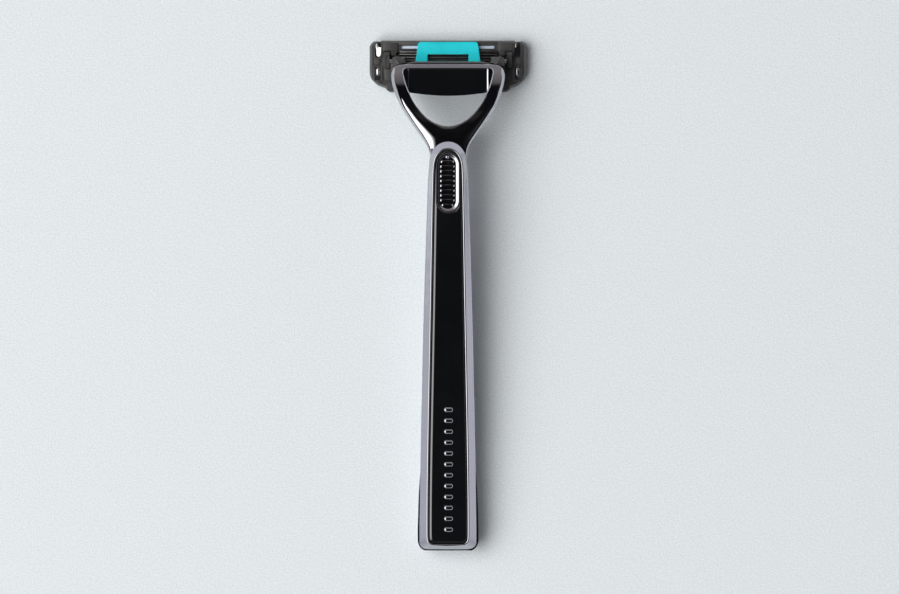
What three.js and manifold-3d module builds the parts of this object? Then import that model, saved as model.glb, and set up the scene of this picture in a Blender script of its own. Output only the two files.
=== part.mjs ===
// Cartridge razor, lying face down as it is put on a shelf.
// Millimetres. +X across the cartridge, +Y from the butt of the handle to the head, +Z up, away from the surface it lies on.
// The origin is under the middle of the razor, on that surface. The razor is symmetric about X = 0.
import * as THREE from "three";
import { mergeVertices } from "three/addons/utils/BufferGeometryUtils.js";
import Module from "manifold-3d";

const wasm = await Module();
wasm.setup();

// ---------------------------------------------------------------- driving dimensions
const BUTT_Y = -67.95; // rear end of the handle
const CAP_Y = 67.9; // front edge of the cartridge
const CART_HALF = 20.9; // half the cartridge's width
const FRAME_T = 2.0; // thickness of the bezel frame on top of the handle
const CHANNEL_D = 0.9; // depth of the frame's channel for the inlay
const GAP = 0.06; // assembly gap between seated pieces
const FACE_Z = 0.34; // plane of the cartridge frame's face
const DECK_Z = 4.4; // back of the cartridge frame
const PIVOT = { y: 62.4, z: 4.9, r: 0.55 };
const BLADE_Y0 = 61.6,
  BLADE_PITCH = 0.85;
const BTN = { y0: 22.1, y1: 37.7, r: 3.03, travel: 1.2 };
const FORK_TRAVEL = 1.4;
const FORK_Z0 = 9.5,
  FORK_Z1 = 10.5;
const CAM = { y: 31.0, z: 11.6, r: 0.5 };

// height of the handle's top (the crest of the bezel frame) along its length
const topZ = (y) => 14.3 + 0.06847 * y - 1.827e-4 * y * y;

function table(rows) {
  return (y) => {
    if (y <= rows[0][0]) return rows[0][1];
    for (let i = 1; i < rows.length; i++)
      if (y <= rows[i][0]) {
        const [a, b] = [rows[i - 1], rows[i]];
        return b[1] + ((a[1] - b[1]) * (b[0] - y)) / (b[0] - a[0]);
      }
    return rows[rows.length - 1][1];
  };
}
// half-width of the bezel frame, of its channel, and of the chassis under it
const frameW = table([
  [-67.62, 5.9], [-67.4, 6.6], [-66.9, 7.2], [-66.2, 7.5], [-65.2, 7.66], [-62.4, 7.65], [-54.4, 7.52],
  [-43.8, 7.34], [-33.1, 7.12], [-22.5, 6.88], [-11.9, 6.67], [-1.25, 6.38], [9.4, 6.06], [20, 5.69],
  [25.3, 5.48], [30.65, 5.29], [34, 5.0], [36.5, 4.86], [37.4, 4.8], [38.1, 4.3], [39.15, 3.56],
  [39.8, 2.85], [40.3, 2.1], [40.75, 0.8],
]);
const channelW = table([
  [-66.2, 4.3], [-65.9, 5.0], [-65.2, 5.45], [-64.4, 5.64], [-59.7, 5.64], [-49.1, 5.56], [-38.5, 5.34],
  [-27.8, 5.1], [-14.5, 4.84], [-1.25, 4.52], [12, 4.23], [25.3, 3.96], [33.3, 3.69], [35.3, 3.42],
  [36.6, 3.0], [37.6, 2.35], [38.25, 1.55], [38.6, 0.7],
]);
const bodyW = table([
  [-67.95, 6.3], [-67.6, 7.0], [-67.0, 7.6], [-66.2, 8.0], [-65.0, 8.17], [-59.7, 8.08], [-54.4, 7.97],
  [-49.1, 7.73], [-45.5, 7.25], [-43, 6.98], [-33.1, 6.76], [-22.5, 6.53], [-11.9, 6.32], [-1.25, 6.03],
  [9.4, 5.71], [20, 5.34], [25.3, 5.13], [30.65, 4.94], [36.5, 4.78], [39, 4.7],
]);
const bottomZ = table([
  [-67.95, 2.2], [-67.6, 1.25], [-67.0, 0.5], [-66.2, 0.1], [-65.5, 0], [-58.5, 0], [-50, 0.35],
  [-40, 1.15], [-20, 2.8], [0, 4.45], [18, 5.85], [43, 7.85],
]);

// ---------------------------------------------------------------- helpers
function toSolid(geometry) {
  const bare = new THREE.BufferGeometry().setAttribute(
    "position",
    (geometry.index ? geometry.toNonIndexed() : geometry).getAttribute("position"),
  );
  const m = mergeVertices(bare, 1e-5);
  return new wasm.Manifold(
    new wasm.Mesh({
      numProp: 3,
      vertProperties: m.attributes.position.array,
      triVerts: new Uint32Array(m.index.array),
    }),
  );
}
function toGeometry(solid) {
  const m = solid.getMesh();
  const n = m.numProp;
  const v = new Float32Array(m.numVert * 3);
  for (let i = 0; i < m.numVert; i++) v.set(m.vertProperties.subarray(i * n, i * n + 3), i * 3);
  const g = new THREE.BufferGeometry()
    .setAttribute("position", new THREE.BufferAttribute(v, 3))
    .setIndex(new THREE.BufferAttribute(new Uint32Array(m.triVerts), 1));
  const flat = g.toNonIndexed();
  flat.computeVertexNormals();
  return flat;
}
const shapeOf = (pts) => new THREE.Shape(pts.map(([a, b]) => new THREE.Vector2(a, b)));
// outline in X,Y raised from z0 to z1
function plan(pts, z0, z1) {
  const g = new THREE.ExtrudeGeometry(shapeOf(pts), { depth: z1 - z0, bevelEnabled: false, steps: 1 });
  g.translate(0, 0, z0);
  return toSolid(g);
}
// outline in Y,Z carried along X from x0 to x1
function side(pts, x0, x1) {
  const g = new THREE.ExtrudeGeometry(shapeOf(pts), { depth: x1 - x0, bevelEnabled: false, steps: 1 });
  // shape (a, b, depth) -> (depth, a, b)
  g.applyMatrix4(new THREE.Matrix4().set(0, 0, 1, x0, 1, 0, 0, 0, 0, 1, 0, 0, 0, 0, 0, 1));
  return toSolid(g);
}
// outline in X,Z carried along Y from y0 to y1
function front(pts, y0, y1) {
  const g = new THREE.ExtrudeGeometry(shapeOf(pts), { depth: y1 - y0, bevelEnabled: false, steps: 1 });
  // shape (a, b, depth) -> (a, y1 - depth, b)
  g.applyMatrix4(new THREE.Matrix4().set(1, 0, 0, 0, 0, 0, -1, y1, 0, 1, 0, 0, 0, 0, 0, 1));
  return toSolid(g);
}
function box(x0, x1, y0, y1, z0, z1) {
  const g = new THREE.BoxGeometry(x1 - x0, y1 - y0, z1 - z0);
  g.translate((x0 + x1) / 2, (y0 + y1) / 2, (z0 + z1) / 2);
  return toSolid(g);
}
function cylX(x0, x1, y, z, r, n = 20) {
  const g = new THREE.CylinderGeometry(r, r, x1 - x0, n);
  g.rotateZ(Math.PI / 2);
  g.translate((x0 + x1) / 2, y, z);
  return toSolid(g);
}
function cylZ(x, y, z0, z1, r, n = 24) {
  const g = new THREE.CylinderGeometry(r, r, z1 - z0, n);
  g.rotateX(Math.PI / 2);
  g.translate(x, y, (z0 + z1) / 2);
  return toSolid(g);
}
// rings of [x, z] points at stations along Y, joined into one closed skin
function loft(stations) {
  const n = stations[0].ring.length;
  const pos = [];
  const p = (s, i) => {
    const [x, z] = s.ring[i % n];
    return [x, s.y, z];
  };
  const quad = (a, b, c, d) => pos.push(...a, ...b, ...c, ...a, ...c, ...d);
  for (let k = 0; k + 1 < stations.length; k++)
    for (let i = 0; i < n; i++)
      quad(p(stations[k], i), p(stations[k + 1], i), p(stations[k + 1], i + 1), p(stations[k], i + 1));
  const cap = (s, flip) => {
    const tri = THREE.ShapeUtils.triangulateShape(
      s.ring.map(([x, z]) => new THREE.Vector2(x, z)),
      [],
    );
    for (const [a, b, c] of tri) {
      const q = [p(s, a), p(s, b), p(s, c)];
      if (flip) q.reverse();
      pos.push(...q[0], ...q[1], ...q[2]);
    }
  };
  cap(stations[0], false);
  cap(stations[stations.length - 1], true);
  const g = new THREE.BufferGeometry().setAttribute(
    "position",
    new THREE.BufferAttribute(new Float32Array(pos), 3),
  );
  let s = toSolid(g);
  if (s.volume() < 0) throw new Error("loft is inside out");
  return s;
}
const mirrorRing = (half) => {
  // half: points from the bottom middle round the +X side to the top middle
  const left = half
    .slice()
    .reverse()
    .filter(([x]) => x > 1e-9)
    .map(([x, z]) => [-x, z]);
  return half.concat(left);
};
const obround = (r, y0, y1, n = 10) => {
  const pts = [];
  for (let i = 0; i <= n; i++) {
    const a = Math.PI + (Math.PI * i) / n;
    pts.push([r * Math.cos(a), y0 + r + r * Math.sin(a)]);
  }
  for (let i = 0; i <= n; i++) {
    const a = (Math.PI * i) / n;
    pts.push([r * Math.cos(a), y1 - r + r * Math.sin(a)]);
  }
  return pts;
};
const both = (half) => half.concat(half.slice().reverse().filter(([x]) => x > 1e-9).map(([x, y]) => [-x, y]));
const ys = (rows) => [...new Set(rows)].sort((a, b) => a - b);

// ---------------------------------------------------------------- materials
const M = (color, roughness, metalness) => new THREE.MeshStandardMaterial({ color, roughness, metalness });
const gunmetal = M(0x6f6f78, 0.12, 1.0);
const blackGloss = M(0x0b0d0e, 0.06, 0.0);
const darkPlastic = M(0x3a3b3c, 0.5, 0.0);
const teal = M(0x29c8d2, 0.45, 0.0);
const steel = M(0x9a9c9e, 0.25, 1.0);
const magnetMat = M(0xb8babd, 0.2, 1.0);
const stripMat = M(0xc9d0dc, 0.45, 0.0);
const rubberMat = M(0x2a2c2e, 0.7, 0.0);
const acetal = M(0xd8d9d6, 0.4, 0.0);

const root = new THREE.Group();
root.name = "cartridge_razor";
const add = (name, solid, material) => {
  const mesh = new THREE.Mesh(toGeometry(solid), material);
  mesh.name = name;
  root.add(mesh);
  return solid;
};

// ---------------------------------------------------------------- handle: bezel frame and inlay
const frameYs = ys([
  -67.62, -67.4, -66.9, -66.2, -65.2, -62.4, -54.4, -43.8, -33.1, -22.5, -11.9, -1.25, 9.4, 20, 30.65, 34, 36.5,
  37.4, 38.1, 39.15, 39.8, 40.3, 40.75,
]);
const frameOuter = loft(
  frameYs.map((y) => {
    const w = frameW(y);
    const c = Math.min(1.55, w * 0.6);
    const end = y < -66.5 ? (-66.5 - y) * 0.9 : y > 38 ? (y - 38) * 0.28 : 0; // the chamfer runs round both ends
    const z = topZ(y);
    return {
      y,
      ring: mirrorRing([
        [0, z - FRAME_T],
        [w, z - FRAME_T],
        [w, z - 1.35],
        [w - c, z - 0.05 - end],
        [0, z - 0.05 - end],
      ]),
    };
  }),
);
const channelYs = ys([
  -66.2, -65.9, -65.2, -64.4, -59.7, -49.1, -38.5, -27.8, -14.5, -1.25, 12, 25.3, 33.3, 35.3, 36.6, 37.6, 38.25,
  38.6,
]);
const inlaySkin = (inset, zLow, zHigh, bevel) =>
  loft(
    channelYs.map((y, i) => {
      const yy = i === 0 ? y + inset : i === channelYs.length - 1 ? y - inset : y;
      const w = Math.max(0.3, channelW(y) - inset);
      const z = topZ(y);
      return {
        y: yy,
        ring: mirrorRing([
          [0, z + zLow],
          [w, z + zLow],
          [w, z + zHigh - bevel],
          [Math.max(0.2, w - bevel), z + zHigh],
          [0, z + zHigh],
        ]),
      };
    }),
  );
let frame = frameOuter.subtract(inlaySkin(0, -CHANNEL_D, 1.5, 0.05));
const buttonHole = plan(obround(BTN.r + 0.09, BTN.y0 - 0.09, BTN.y1 + 0.09), 5, 25);
frame = frame.subtract(buttonHole);
const frameScrews = [8, -56];
for (const y of frameScrews) {
  frame = frame.subtract(cylZ(0, y, 0, 30, 1.15));
  frame = frame.subtract(cylZ(0, y, topZ(y) - CHANNEL_D - 0.72, 30, 2.0));
}
add("top_frame", frame, gunmetal);
const inlay = inlaySkin(0.1, -CHANNEL_D + GAP, -0.12, 0.25).subtract(buttonHole);
add("inlay_panel", inlay, blackGloss);

// ---------------------------------------------------------------- handle: chassis with the fork that carries the head
const chassisYs = ys([
  -67.95, -67.6, -67, -66.2, -65.5, -65, -59.7, -58.5, -54.4, -50, -45.5, -43, -33.1, -22.5, -11.9, -1.25, 9.4, 18,
  25.3, 30.65, 36.5, 39,
]);
const chassisLoft = loft(
  chassisYs.map((y) => {
    const w = bodyW(y);
    const zt = topZ(y) - FRAME_T - GAP;
    const zb = bottomZ(y);
    const foot = y <= -58 ? 0.62 : 0.55;
    const dz = y < -66.5 ? 1.2 * (-66.5 - y) * 0.4 : 0;
    return {
      y,
      ring: mirrorRing([
        [0, zb],
        [w * foot, zb],
        [w * 0.82, zb + 1.0],
        [w * 0.95, zb + 2.5],
        [w, zt - 1.6],
        [w, zt - 0.3 - dz],
        [w - 0.25, zt - dz],
        [0, zt - dz],
      ]),
    };
  }),
);
const forkHalf = [
  [0, 34], [4.6, 34], [4.86, 36.5], [4.89, 37.56], [5.08, 38.6], [5.53, 39.7], [6.11, 40.75], [6.88, 41.8],
  [7.66, 42.9], [8.43, 43.9], [9.14, 45], [9.86, 46.06], [10.58, 47.1], [11.24, 48.2], [11.96, 49.25],
  [12.57, 50.3], [13.13, 51.4], [13.64, 52.4], [14.09, 53.5], [14.59, 55.1], [14.83, 56.2], [15.02, 57.2],
  [15.1, 58.3], [14.96, 59.35], [14.67, 59.9], [14.33, 60.4], [13.69, 60.8], [12.9, 61.16], [11.96, 61.37],
  [10.6, 61.5], [0, 61.5],
];
const openingHalf = [
  [0, 44.92], [1.5, 45.08], [2.84, 45.5], [3.99, 46.06], [4.84, 46.6], [5.56, 47.13], [6.14, 47.66], [7.18, 48.7],
  [8.03, 49.8], [8.8, 50.85], [9.44, 51.9], [10.05, 52.97], [10.35, 53.72], [10.05, 53.72], [7.5, 53.38],
  [5, 53.12], [2.5, 52.96], [0, 52.9],
];
const forkProfile = [
  [34, 7.05], [41, 7.65], [45, 8.2], [49, 8.65], [53, 9.2], [61.5, 9.2], [61.5, 11.3], [61.3, 12.1], [60.9, 12.6],
  [60, 12.9], [56, 13.2], [50, 13.8], [45, 14.35], [41, 14.7], [38, 14.55], [34, 14.2],
];
let fork = plan(both(forkHalf), 5, 16).intersect(side(forkProfile, -20, 20));
fork = fork.subtract(plan(both(openingHalf), 0, 20));
fork = fork.add(
  side([[60.5, 9.2], [62.3, 9.2], [62.4, 9.4], [61.8, 10.9], [61.2, 11.2], [60.5, 11.2]], -11.3, 11.3),
);
// recess for the bridge plate: its sides carry on the line of the loop
const recessHalf = [
  [0, 52], [10.2, 52], [10.42, 53.95], [10.95, 55.4], [11.4, 56.9], [11.72, 58.3], [11.9, 59.4], [11.85, 60.1],
  [11.55, 60.5], [10.95, 60.72], [0, 60.76],
];
fork = fork.subtract(plan(both(recessHalf), 11.2, 20));
let chassis = chassisLoft.add(fork);
// pocket under the button, and the bay for the release mechanism, open below
chassis = chassis.subtract(plan(obround(BTN.r + 0.2, BTN.y0 - 0.2, BTN.y1 + 0.2), 13.4, 20));
chassis = chassis.subtract(box(-1.85, 1.85, 22.3, 35.75, 5, 13.6));
chassis = chassis.subtract(box(-1.5, 1.5, 35.6, 40.7, 5, FORK_Z1 + 0.35));
for (const x of [-1.6, 0.72]) chassis = chassis.subtract(box(x, x + 0.88, 40.6, 41.8, 8, FORK_Z1 + 0.35));
// seat for the bay cover
const coverLine = (y, d) => 5.85 + 0.08 * (y - 18) + d;
const coverSeat = side(
  [[19.4, coverLine(19.4, -2)], [42.6, coverLine(42.6, -2)], [42.6, coverLine(42.6, 1.06)], [19.4, coverLine(19.4, 1.06)]],
  -2.56,
  2.56,
);
chassis = chassis.subtract(coverSeat);
// grooves under the arms for the release fork's legs
const legPath = [
  [0.0, 39.8], [1.6, 41.2], [3.4, 42.9], [5.7, 45.15], [7.9, 47.5], [9.8, 50.0], [11.3, 52.6], [12.5, 55.1], [13.2, 57.0],
];
function strip(path, halfW, back, extra) {
  // one side of the path towards the loop, the other towards the outside, moved back along Y
  const a = [];
  const b = [];
  for (let i = 0; i < path.length; i++) {
    const p0 = path[Math.max(0, i - 1)];
    const p1 = path[Math.min(path.length - 1, i + 1)];
    const d = new THREE.Vector2(p1[0] - p0[0], p1[1] - p0[1]).normalize();
    const n = [-d.y, d.x]; // towards the loop
    a.push([path[i][0] + n[0] * halfW, path[i][1] + n[1] * halfW + extra]);
    b.push([path[i][0] - n[0] * halfW, path[i][1] - n[1] * halfW - back - extra]);
  }
  return b.concat(a.reverse());
}
const mirrorX = (pts) => pts.map(([x, y]) => [-x, y]).reverse();
const grooveR = strip(legPath, 0.4 + 0.12, FORK_TRAVEL, 0.12).map(([x, y]) => [x, y]);
const groove = (pts) => plan(pts, 4, FORK_Z1 + 0.3);
chassis = chassis.subtract(groove(grooveR)).subtract(groove(mirrorX(grooveR)));
// magnet chambers and the sockets in front of them
for (const s of [1, -1]) {
  const X = (a, b) => (s > 0 ? [a, b] : [-b, -a]);
  const [m0, m1] = X(12.0, 14.4);
  chassis = chassis.subtract(box(m0, m1, 55.0, 59.45, 4, 10.95));
  const [k0, k1] = X(12.05, 14.35);
  chassis = chassis.subtract(box(k0, k1, 59.3, 63, 9.35, 10.95));
}
// screw holes
for (const y of frameScrews) chassis = chassis.subtract(cylZ(0, y, topZ(y) - 7.2, 30, 0.86));
const coverScrewY = [20.9, 41.35];
for (const y of coverScrewY) chassis = chassis.subtract(cylZ(0, y, 3, y < 30 ? 11.0 : 13.2, 0.62, 16));
add("handle_chassis", chassis, gunmetal);

for (const [i, y] of frameScrews.entries()) {
  const z = topZ(y) - CHANNEL_D;
  let s = cylZ(0, y, z - 0.66, z - 0.2, 1.85, 20).add(cylZ(0, y, z - 6.0, z - 0.5, 0.8, 16));
  s = s.subtract(box(-1.2, 1.2, y - 0.2, y + 0.2, z - 0.45, z + 1));
  add(["frame_screw_front", "frame_screw_rear"][i], s, steel);
}

// bridge plate between the arms, a tray with a sloping flank at each end
const plateHalf = [
  [0, 53.0], [2.5, 53.06], [5, 53.22], [7.5, 53.48], [9, 53.68], [10.33, 53.92], [10.82, 55.35], [10.9, 55.7],
  [10.9, 60.62], [0, 60.66],
];
const plate = plan(both(plateHalf), 5, 20).intersect(
  front([[-11, 11.26], [11, 11.26], [11, 12.59], [10.27, 12.3], [-10.27, 12.3], [-11, 12.59]], 50, 62),
);
add("bridge_plate", plate, blackGloss);

// cover of the release bay, on the underside, with its two screws
let cover = side(
  [[19.5, coverLine(19.5, 0)], [42.5, coverLine(42.5, 0)], [42.5, coverLine(42.5, 1.0)], [19.5, coverLine(19.5, 1.0)]],
  -2.5,
  2.5,
);
for (const y of coverScrewY) {
  cover = cover.subtract(cylZ(0, y, 3, 12, 0.66, 16));
  cover = cover.subtract(cylZ(0, y, 3, coverLine(y, 0.6), 1.12, 16));
}
add("bay_cover", cover, gunmetal);
for (const [i, y] of coverScrewY.entries()) {
  const z = coverLine(y, 0);
  let s = cylZ(0, y, z + 0.1, z + 0.54, 1.05, 16).add(cylZ(0, y, z + 0.4, z + (i ? 5.0 : 4.2), 0.57, 16));
  s = s.subtract(box(-0.7, 0.7, y - 0.14, y + 0.14, z - 1, z + 0.3));
  add(["cover_screw_rear", "cover_screw_front"][i], s, steel);
}

// ---------------------------------------------------------------- release button, plunger, cam pin, spring
const tilt = (y, d) => topZ(y) + d;
let button = plan(obround(BTN.r, BTN.y0, BTN.y1, 12), 5, 25).intersect(
  side([[20, 14.8], [40, 14.8], [40, tilt(40, 0.15)], [30, tilt(30, 0.15)], [20, tilt(20, 0.15)]], -6, 6),
);
// thumb scoop with cross ribs
const scoop = plan(obround(2.25, BTN.y0 + 0.85, BTN.y1 - 0.85, 10), 5, 25).intersect(
  side([[20, tilt(20, -0.38)], [30, tilt(30, -0.38)], [40, tilt(40, -0.38)], [40, 25], [20, 25]], -6, 6),
);
button = button.subtract(scoop);
for (let i = 0; i < 11; i++) {
  const y = 23.95 + 1.281 * i;
  const w = i === 10 ? 1.35 : i === 0 ? 1.5 : 2.3;
  button = button.add(
    side([[y - 0.24, tilt(y, -0.5)], [y + 0.24, tilt(y, -0.5)], [y + 0.08, tilt(y, -0.06)], [y - 0.08, tilt(y, -0.06)]], -w, w),
  );
}
add("release_button", button, gunmetal);

let plunger = box(-1.7, 1.7, 26.5, 35.5, 9.8, 14.74).add(box(-1.7, 1.7, 22.7, 26.6, 12.5, 14.74));
plunger = plunger.subtract(box(-0.68, 0.68, 26.3, 36, 5, 14.1));
plunger = plunger.subtract(cylX(-3, 3, CAM.y, CAM.z, CAM.r + 0.03, 16));
plunger = plunger.add(cylZ(0, 24.4, 11.7, 12.6, 0.75, 12));
add("button_plunger", plunger, acetal);
add("cam_pin", cylX(-1.62, 1.62, CAM.y, CAM.z, CAM.r, 16), steel);

// coil spring under the plunger's heel
class Helix extends THREE.Curve {
  constructor(r, z0, z1, turns, y) {
    super();
    Object.assign(this, { r, z0, z1, turns, y });
  }
  getPoint(t, target = new THREE.Vector3()) {
    const a = 2 * Math.PI * this.turns * t;
    return target.set(this.r * Math.cos(a), this.y + this.r * Math.sin(a), this.z0 + (this.z1 - this.z0) * t);
  }
}
{
  const wire = 0.19;
  const circle = [];
  for (let i = 0; i < 6; i++) circle.push([wire * Math.cos((i * Math.PI) / 3), wire * Math.sin((i * Math.PI) / 3)]);
  const zLow = coverLine(24.4, 1.0) + wire + 0.22;
  const g = new THREE.ExtrudeGeometry(shapeOf(circle), {
    steps: 60,
    bevelEnabled: false,
    extrudePath: new Helix(1.12, zLow, 12.5 - wire - 0.12, 5, 24.4),
  });
  add("button_spring", toSolid(g), steel);
}

// ---------------------------------------------------------------- release fork that draws the magnets back
let relFork = plan(
  strip(legPath.slice(1), 0.4, 0, 0).map(([x, y]) => [x, y]),
  FORK_Z0,
  FORK_Z1,
);
relFork = relFork.add(plan(mirrorX(strip(legPath.slice(1), 0.4, 0, 0)), FORK_Z0, FORK_Z1));
relFork = relFork.add(plan([[-1.2, 37.5], [1.2, 37.5], [1.2, 40.2], [2.15, 41.15], [1.35, 41.65], [0.85, 41.2], [0.85, 40.4], [-0.85, 40.4], [-0.85, 41.2], [-1.35, 41.65], [-2.15, 41.15], [-1.2, 40.2]], FORK_Z0, FORK_Z1));
for (const s of [1, -1]) {
  const X = (a, b) => (s > 0 ? [a, b] : [-b, -a]);
  const [a, b] = X(12.2, 14.2);
  relFork = relFork.add(box(a, b, 56.4, 57.15, FORK_Z0, FORK_Z1 + 0.2));
}
let web = side(
  [[29.0, 10.3], [29.3, 12.75], [32.0, 12.75], [33.7, 11.5], [34.9, 10.6], [37.6, 10.5], [37.6, 9.5], [35.2, 9.5], [34.2, 8.95], [30.6, 8.95]],
  -0.55,
  0.55,
);
// inclined cam slot: the pin travels from its rest place forward and down in the web
{
  const [y0, z0] = [CAM.y, CAM.z];
  const [y1, z1] = [CAM.y + FORK_TRAVEL, CAM.z - BTN.travel];
  const d = new THREE.Vector2(y1 - y0, z1 - z0).normalize();
  const n = new THREE.Vector2(-d.y, d.x);
  const r = CAM.r + 0.07;
  const pts = [];
  const a0 = Math.atan2(n.y, n.x);
  for (let i = 0; i <= 8; i++) pts.push([y0 + r * Math.cos(a0 + (Math.PI * i) / 8), z0 + r * Math.sin(a0 + (Math.PI * i) / 8)]);
  for (let i = 0; i <= 8; i++)
    pts.push([y1 + r * Math.cos(a0 + Math.PI + (Math.PI * i) / 8), z1 + r * Math.sin(a0 + Math.PI + (Math.PI * i) / 8)]);
  web = web.subtract(side(pts, -2, 2));
}
relFork = relFork.add(web);
add("release_fork", relFork, steel);
for (const s of [1, -1]) {
  const X = (a, b) => (s > 0 ? [a, b] : [-b, -a]);
  const [a, b] = X(12.2, 14.2);
  add(s > 0 ? "magnet_right" : "magnet_left", box(a, b, 57.2, 59.25, 9.5, 10.75), magnetMat);
}

// ---------------------------------------------------------------- docking yoke between handle and blade unit
let dock = box(-13.4, 13.4, 57.6, 61.3, 7.75, 9.0);
for (const s of [1, -1]) {
  const f = (pts, x0, x1) => (s > 0 ? side(pts, x0, x1) : side(pts, -x1, -x0));
  const X = (a, b) => (s > 0 ? [a, b] : [-b, -a]);
  // shoulder, arm and pivot boss
  dock = dock.add(
    f([[59.8, 7.75], [61.0, 6.4], [61.1, 4.9], [61.35, 4.15], [61.85, 3.62], [62.4, 3.45], [63.0, 3.6], [63.5, 4.1],
       [63.75, 4.9], [63.75, 6.6], [63.35, 10.2], [62.8, 11.0], [61.75, 11.0], [61.75, 9.0], [59.8, 9.0]], 13.2, 15.25),
  );
  dock = dock.add(
    f([[60.6, 7.75], [61.6, 6.9], [63.6, 6.9], [63.35, 10.2], [62.8, 11.0], [61.75, 11.0], [61.75, 9.0], [60.6, 9.0]], 11.5, 13.3),
  );
  const [p0, p1] = X(12.2, 14.2);
  dock = dock.add(box(p0, p1, 60.35, 61.9, 9.5, 10.7));
  dock = dock.subtract(cylX(...X(13.55, 16), PIVOT.y, PIVOT.z, PIVOT.r + 0.03, 20));
}
// the arms' outer corners are cut back
dock = dock.intersect(
  plan(
    both([[0, 50], [15.25, 50], [15.25, 62.35], [14.75, 63.1], [14.0, 63.75], [11.75, 63.75], [11.5, 63.2], [11.5, 70], [0, 70]]),
    -5,
    20,
  ),
);
// rear edge relief and two seats for the tongue's legs
dock = dock.subtract(box(-9.0, 9.0, 56, 58.4, 7, 8.3));
add("docking_yoke", dock, darkPlastic);
for (const s of [1, -1]) {
  const X = (a, b) => (s > 0 ? [a, b] : [-b, -a]);
  const [a, b] = X(12.2, 14.2);
  add(s > 0 ? "keeper_right" : "keeper_left", box(a, b, 59.5, 60.3, 9.5, 10.7), steel);
  const [c, d] = X(13.65, 16.95);
  add(s > 0 ? "pivot_pin_right" : "pivot_pin_left", cylX(c, d, PIVOT.y, PIVOT.z, PIVOT.r, 20), steel);
}

// elastic return tongue: two legs under the docking yoke and a pad on the cap rail
{
  const outline = [
    [-8.85, 58.9], [-5.45, 58.9], [-5.45, 64.0], [-5.2, 64.25], [5.2, 64.25], [5.45, 64.0], [5.45, 58.9],
    [8.85, 58.9], [8.8, 62.2], [8.15, 67.2], [7.8, 67.55], [-7.8, 67.55], [-8.15, 67.2], [-8.8, 62.2],
  ];
  const profile = [
    [58.8, 6.85], [61.2, 6.7], [63.0, 5.75], [64.2, 4.75], [67.0, 4.46], [67.7, 4.46], [67.7, 4.95], [67.2, 5.3],
    [64.6, 5.6], [63.3, 6.55], [61.9, 7.45], [60.8, 7.7], [58.8, 7.7],
  ];
  add("return_tongue", plan(outline, 0, 20).intersect(side(profile, -12, 12)), teal);
}

// ---------------------------------------------------------------- blade unit
const cartHalf = [
  [0, 55.2], [13.2, 55.2], [13.45, 54.8], [13.9, 54.4], [14.55, 54.2], [15.3, 54.2], [15.95, 54.45],
  [16.45, 54.95], [16.8, 55.4], [17.6, 55.6], [18.7, 56.1], [19.7, 56.9], [20.4, 57.7], [20.8, 58.7], [20.9, 59.8],
  [20.9, 66.3], [20.5, 67.1], [19.9, 67.6], [19.2, 67.9], [0, 67.9],
];
const inset = (pts, d) => {
  const out = [];
  const n = pts.length;
  for (let i = 0; i < n; i++) {
    const p0 = pts[(i + n - 1) % n], p = pts[i], p1 = pts[(i + 1) % n];
    const a = new THREE.Vector2(p[0] - p0[0], p[1] - p0[1]).normalize();
    const b = new THREE.Vector2(p1[0] - p[0], p1[1] - p[1]).normalize();
    const m = new THREE.Vector2(-(a.y + b.y), a.x + b.x).normalize();
    const k = d / Math.max(0.4, m.x * -a.y + m.y * a.x);
    out.push([p[0] + m.x * k, p[1] + m.y * k]);
  }
  return out;
};
const skirt = (pts, top, z0, z1, z2) => {
  // straight wall from z0 to z1, then drafted in to the outline "top" at z2
  const n = pts.length;
  const pos = [];
  const quad = (a, b, c, d) => pos.push(...a, ...b, ...c, ...a, ...c, ...d);
  const R = [pts.map(([x, y]) => [x, y, z0]), pts.map(([x, y]) => [x, y, z1]), top.map(([x, y]) => [x, y, z2])];
  for (let k = 0; k < 2; k++)
    for (let i = 0; i < n; i++) quad(R[k][i], R[k][(i + 1) % n], R[k + 1][(i + 1) % n], R[k + 1][i]);
  const cap = (ring, up) => {
    for (const t of THREE.ShapeUtils.triangulateShape(ring.map(([x, y]) => new THREE.Vector2(x, y)), [])) {
      const q = t.map((i) => ring[i]);
      if (!up) q.reverse();
      pos.push(...q.flat());
    }
  };
  cap(R[0], false);
  cap(R[2], true);
  return toSolid(new THREE.BufferGeometry().setAttribute("position", new THREE.BufferAttribute(new Float32Array(pos), 3)));
};
const cartOutline = both(cartHalf);
let cart = skirt(cartOutline, inset(cartOutline, 0.55), FACE_Z, 3.3, DECK_Z);
// the guard side is thinner
cart = cart.subtract(side([[50, 3.45], [57.6, 3.95], [59.2, 4.6], [59.2, 9], [50, 9]], -12.9, 12.9));
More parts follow.
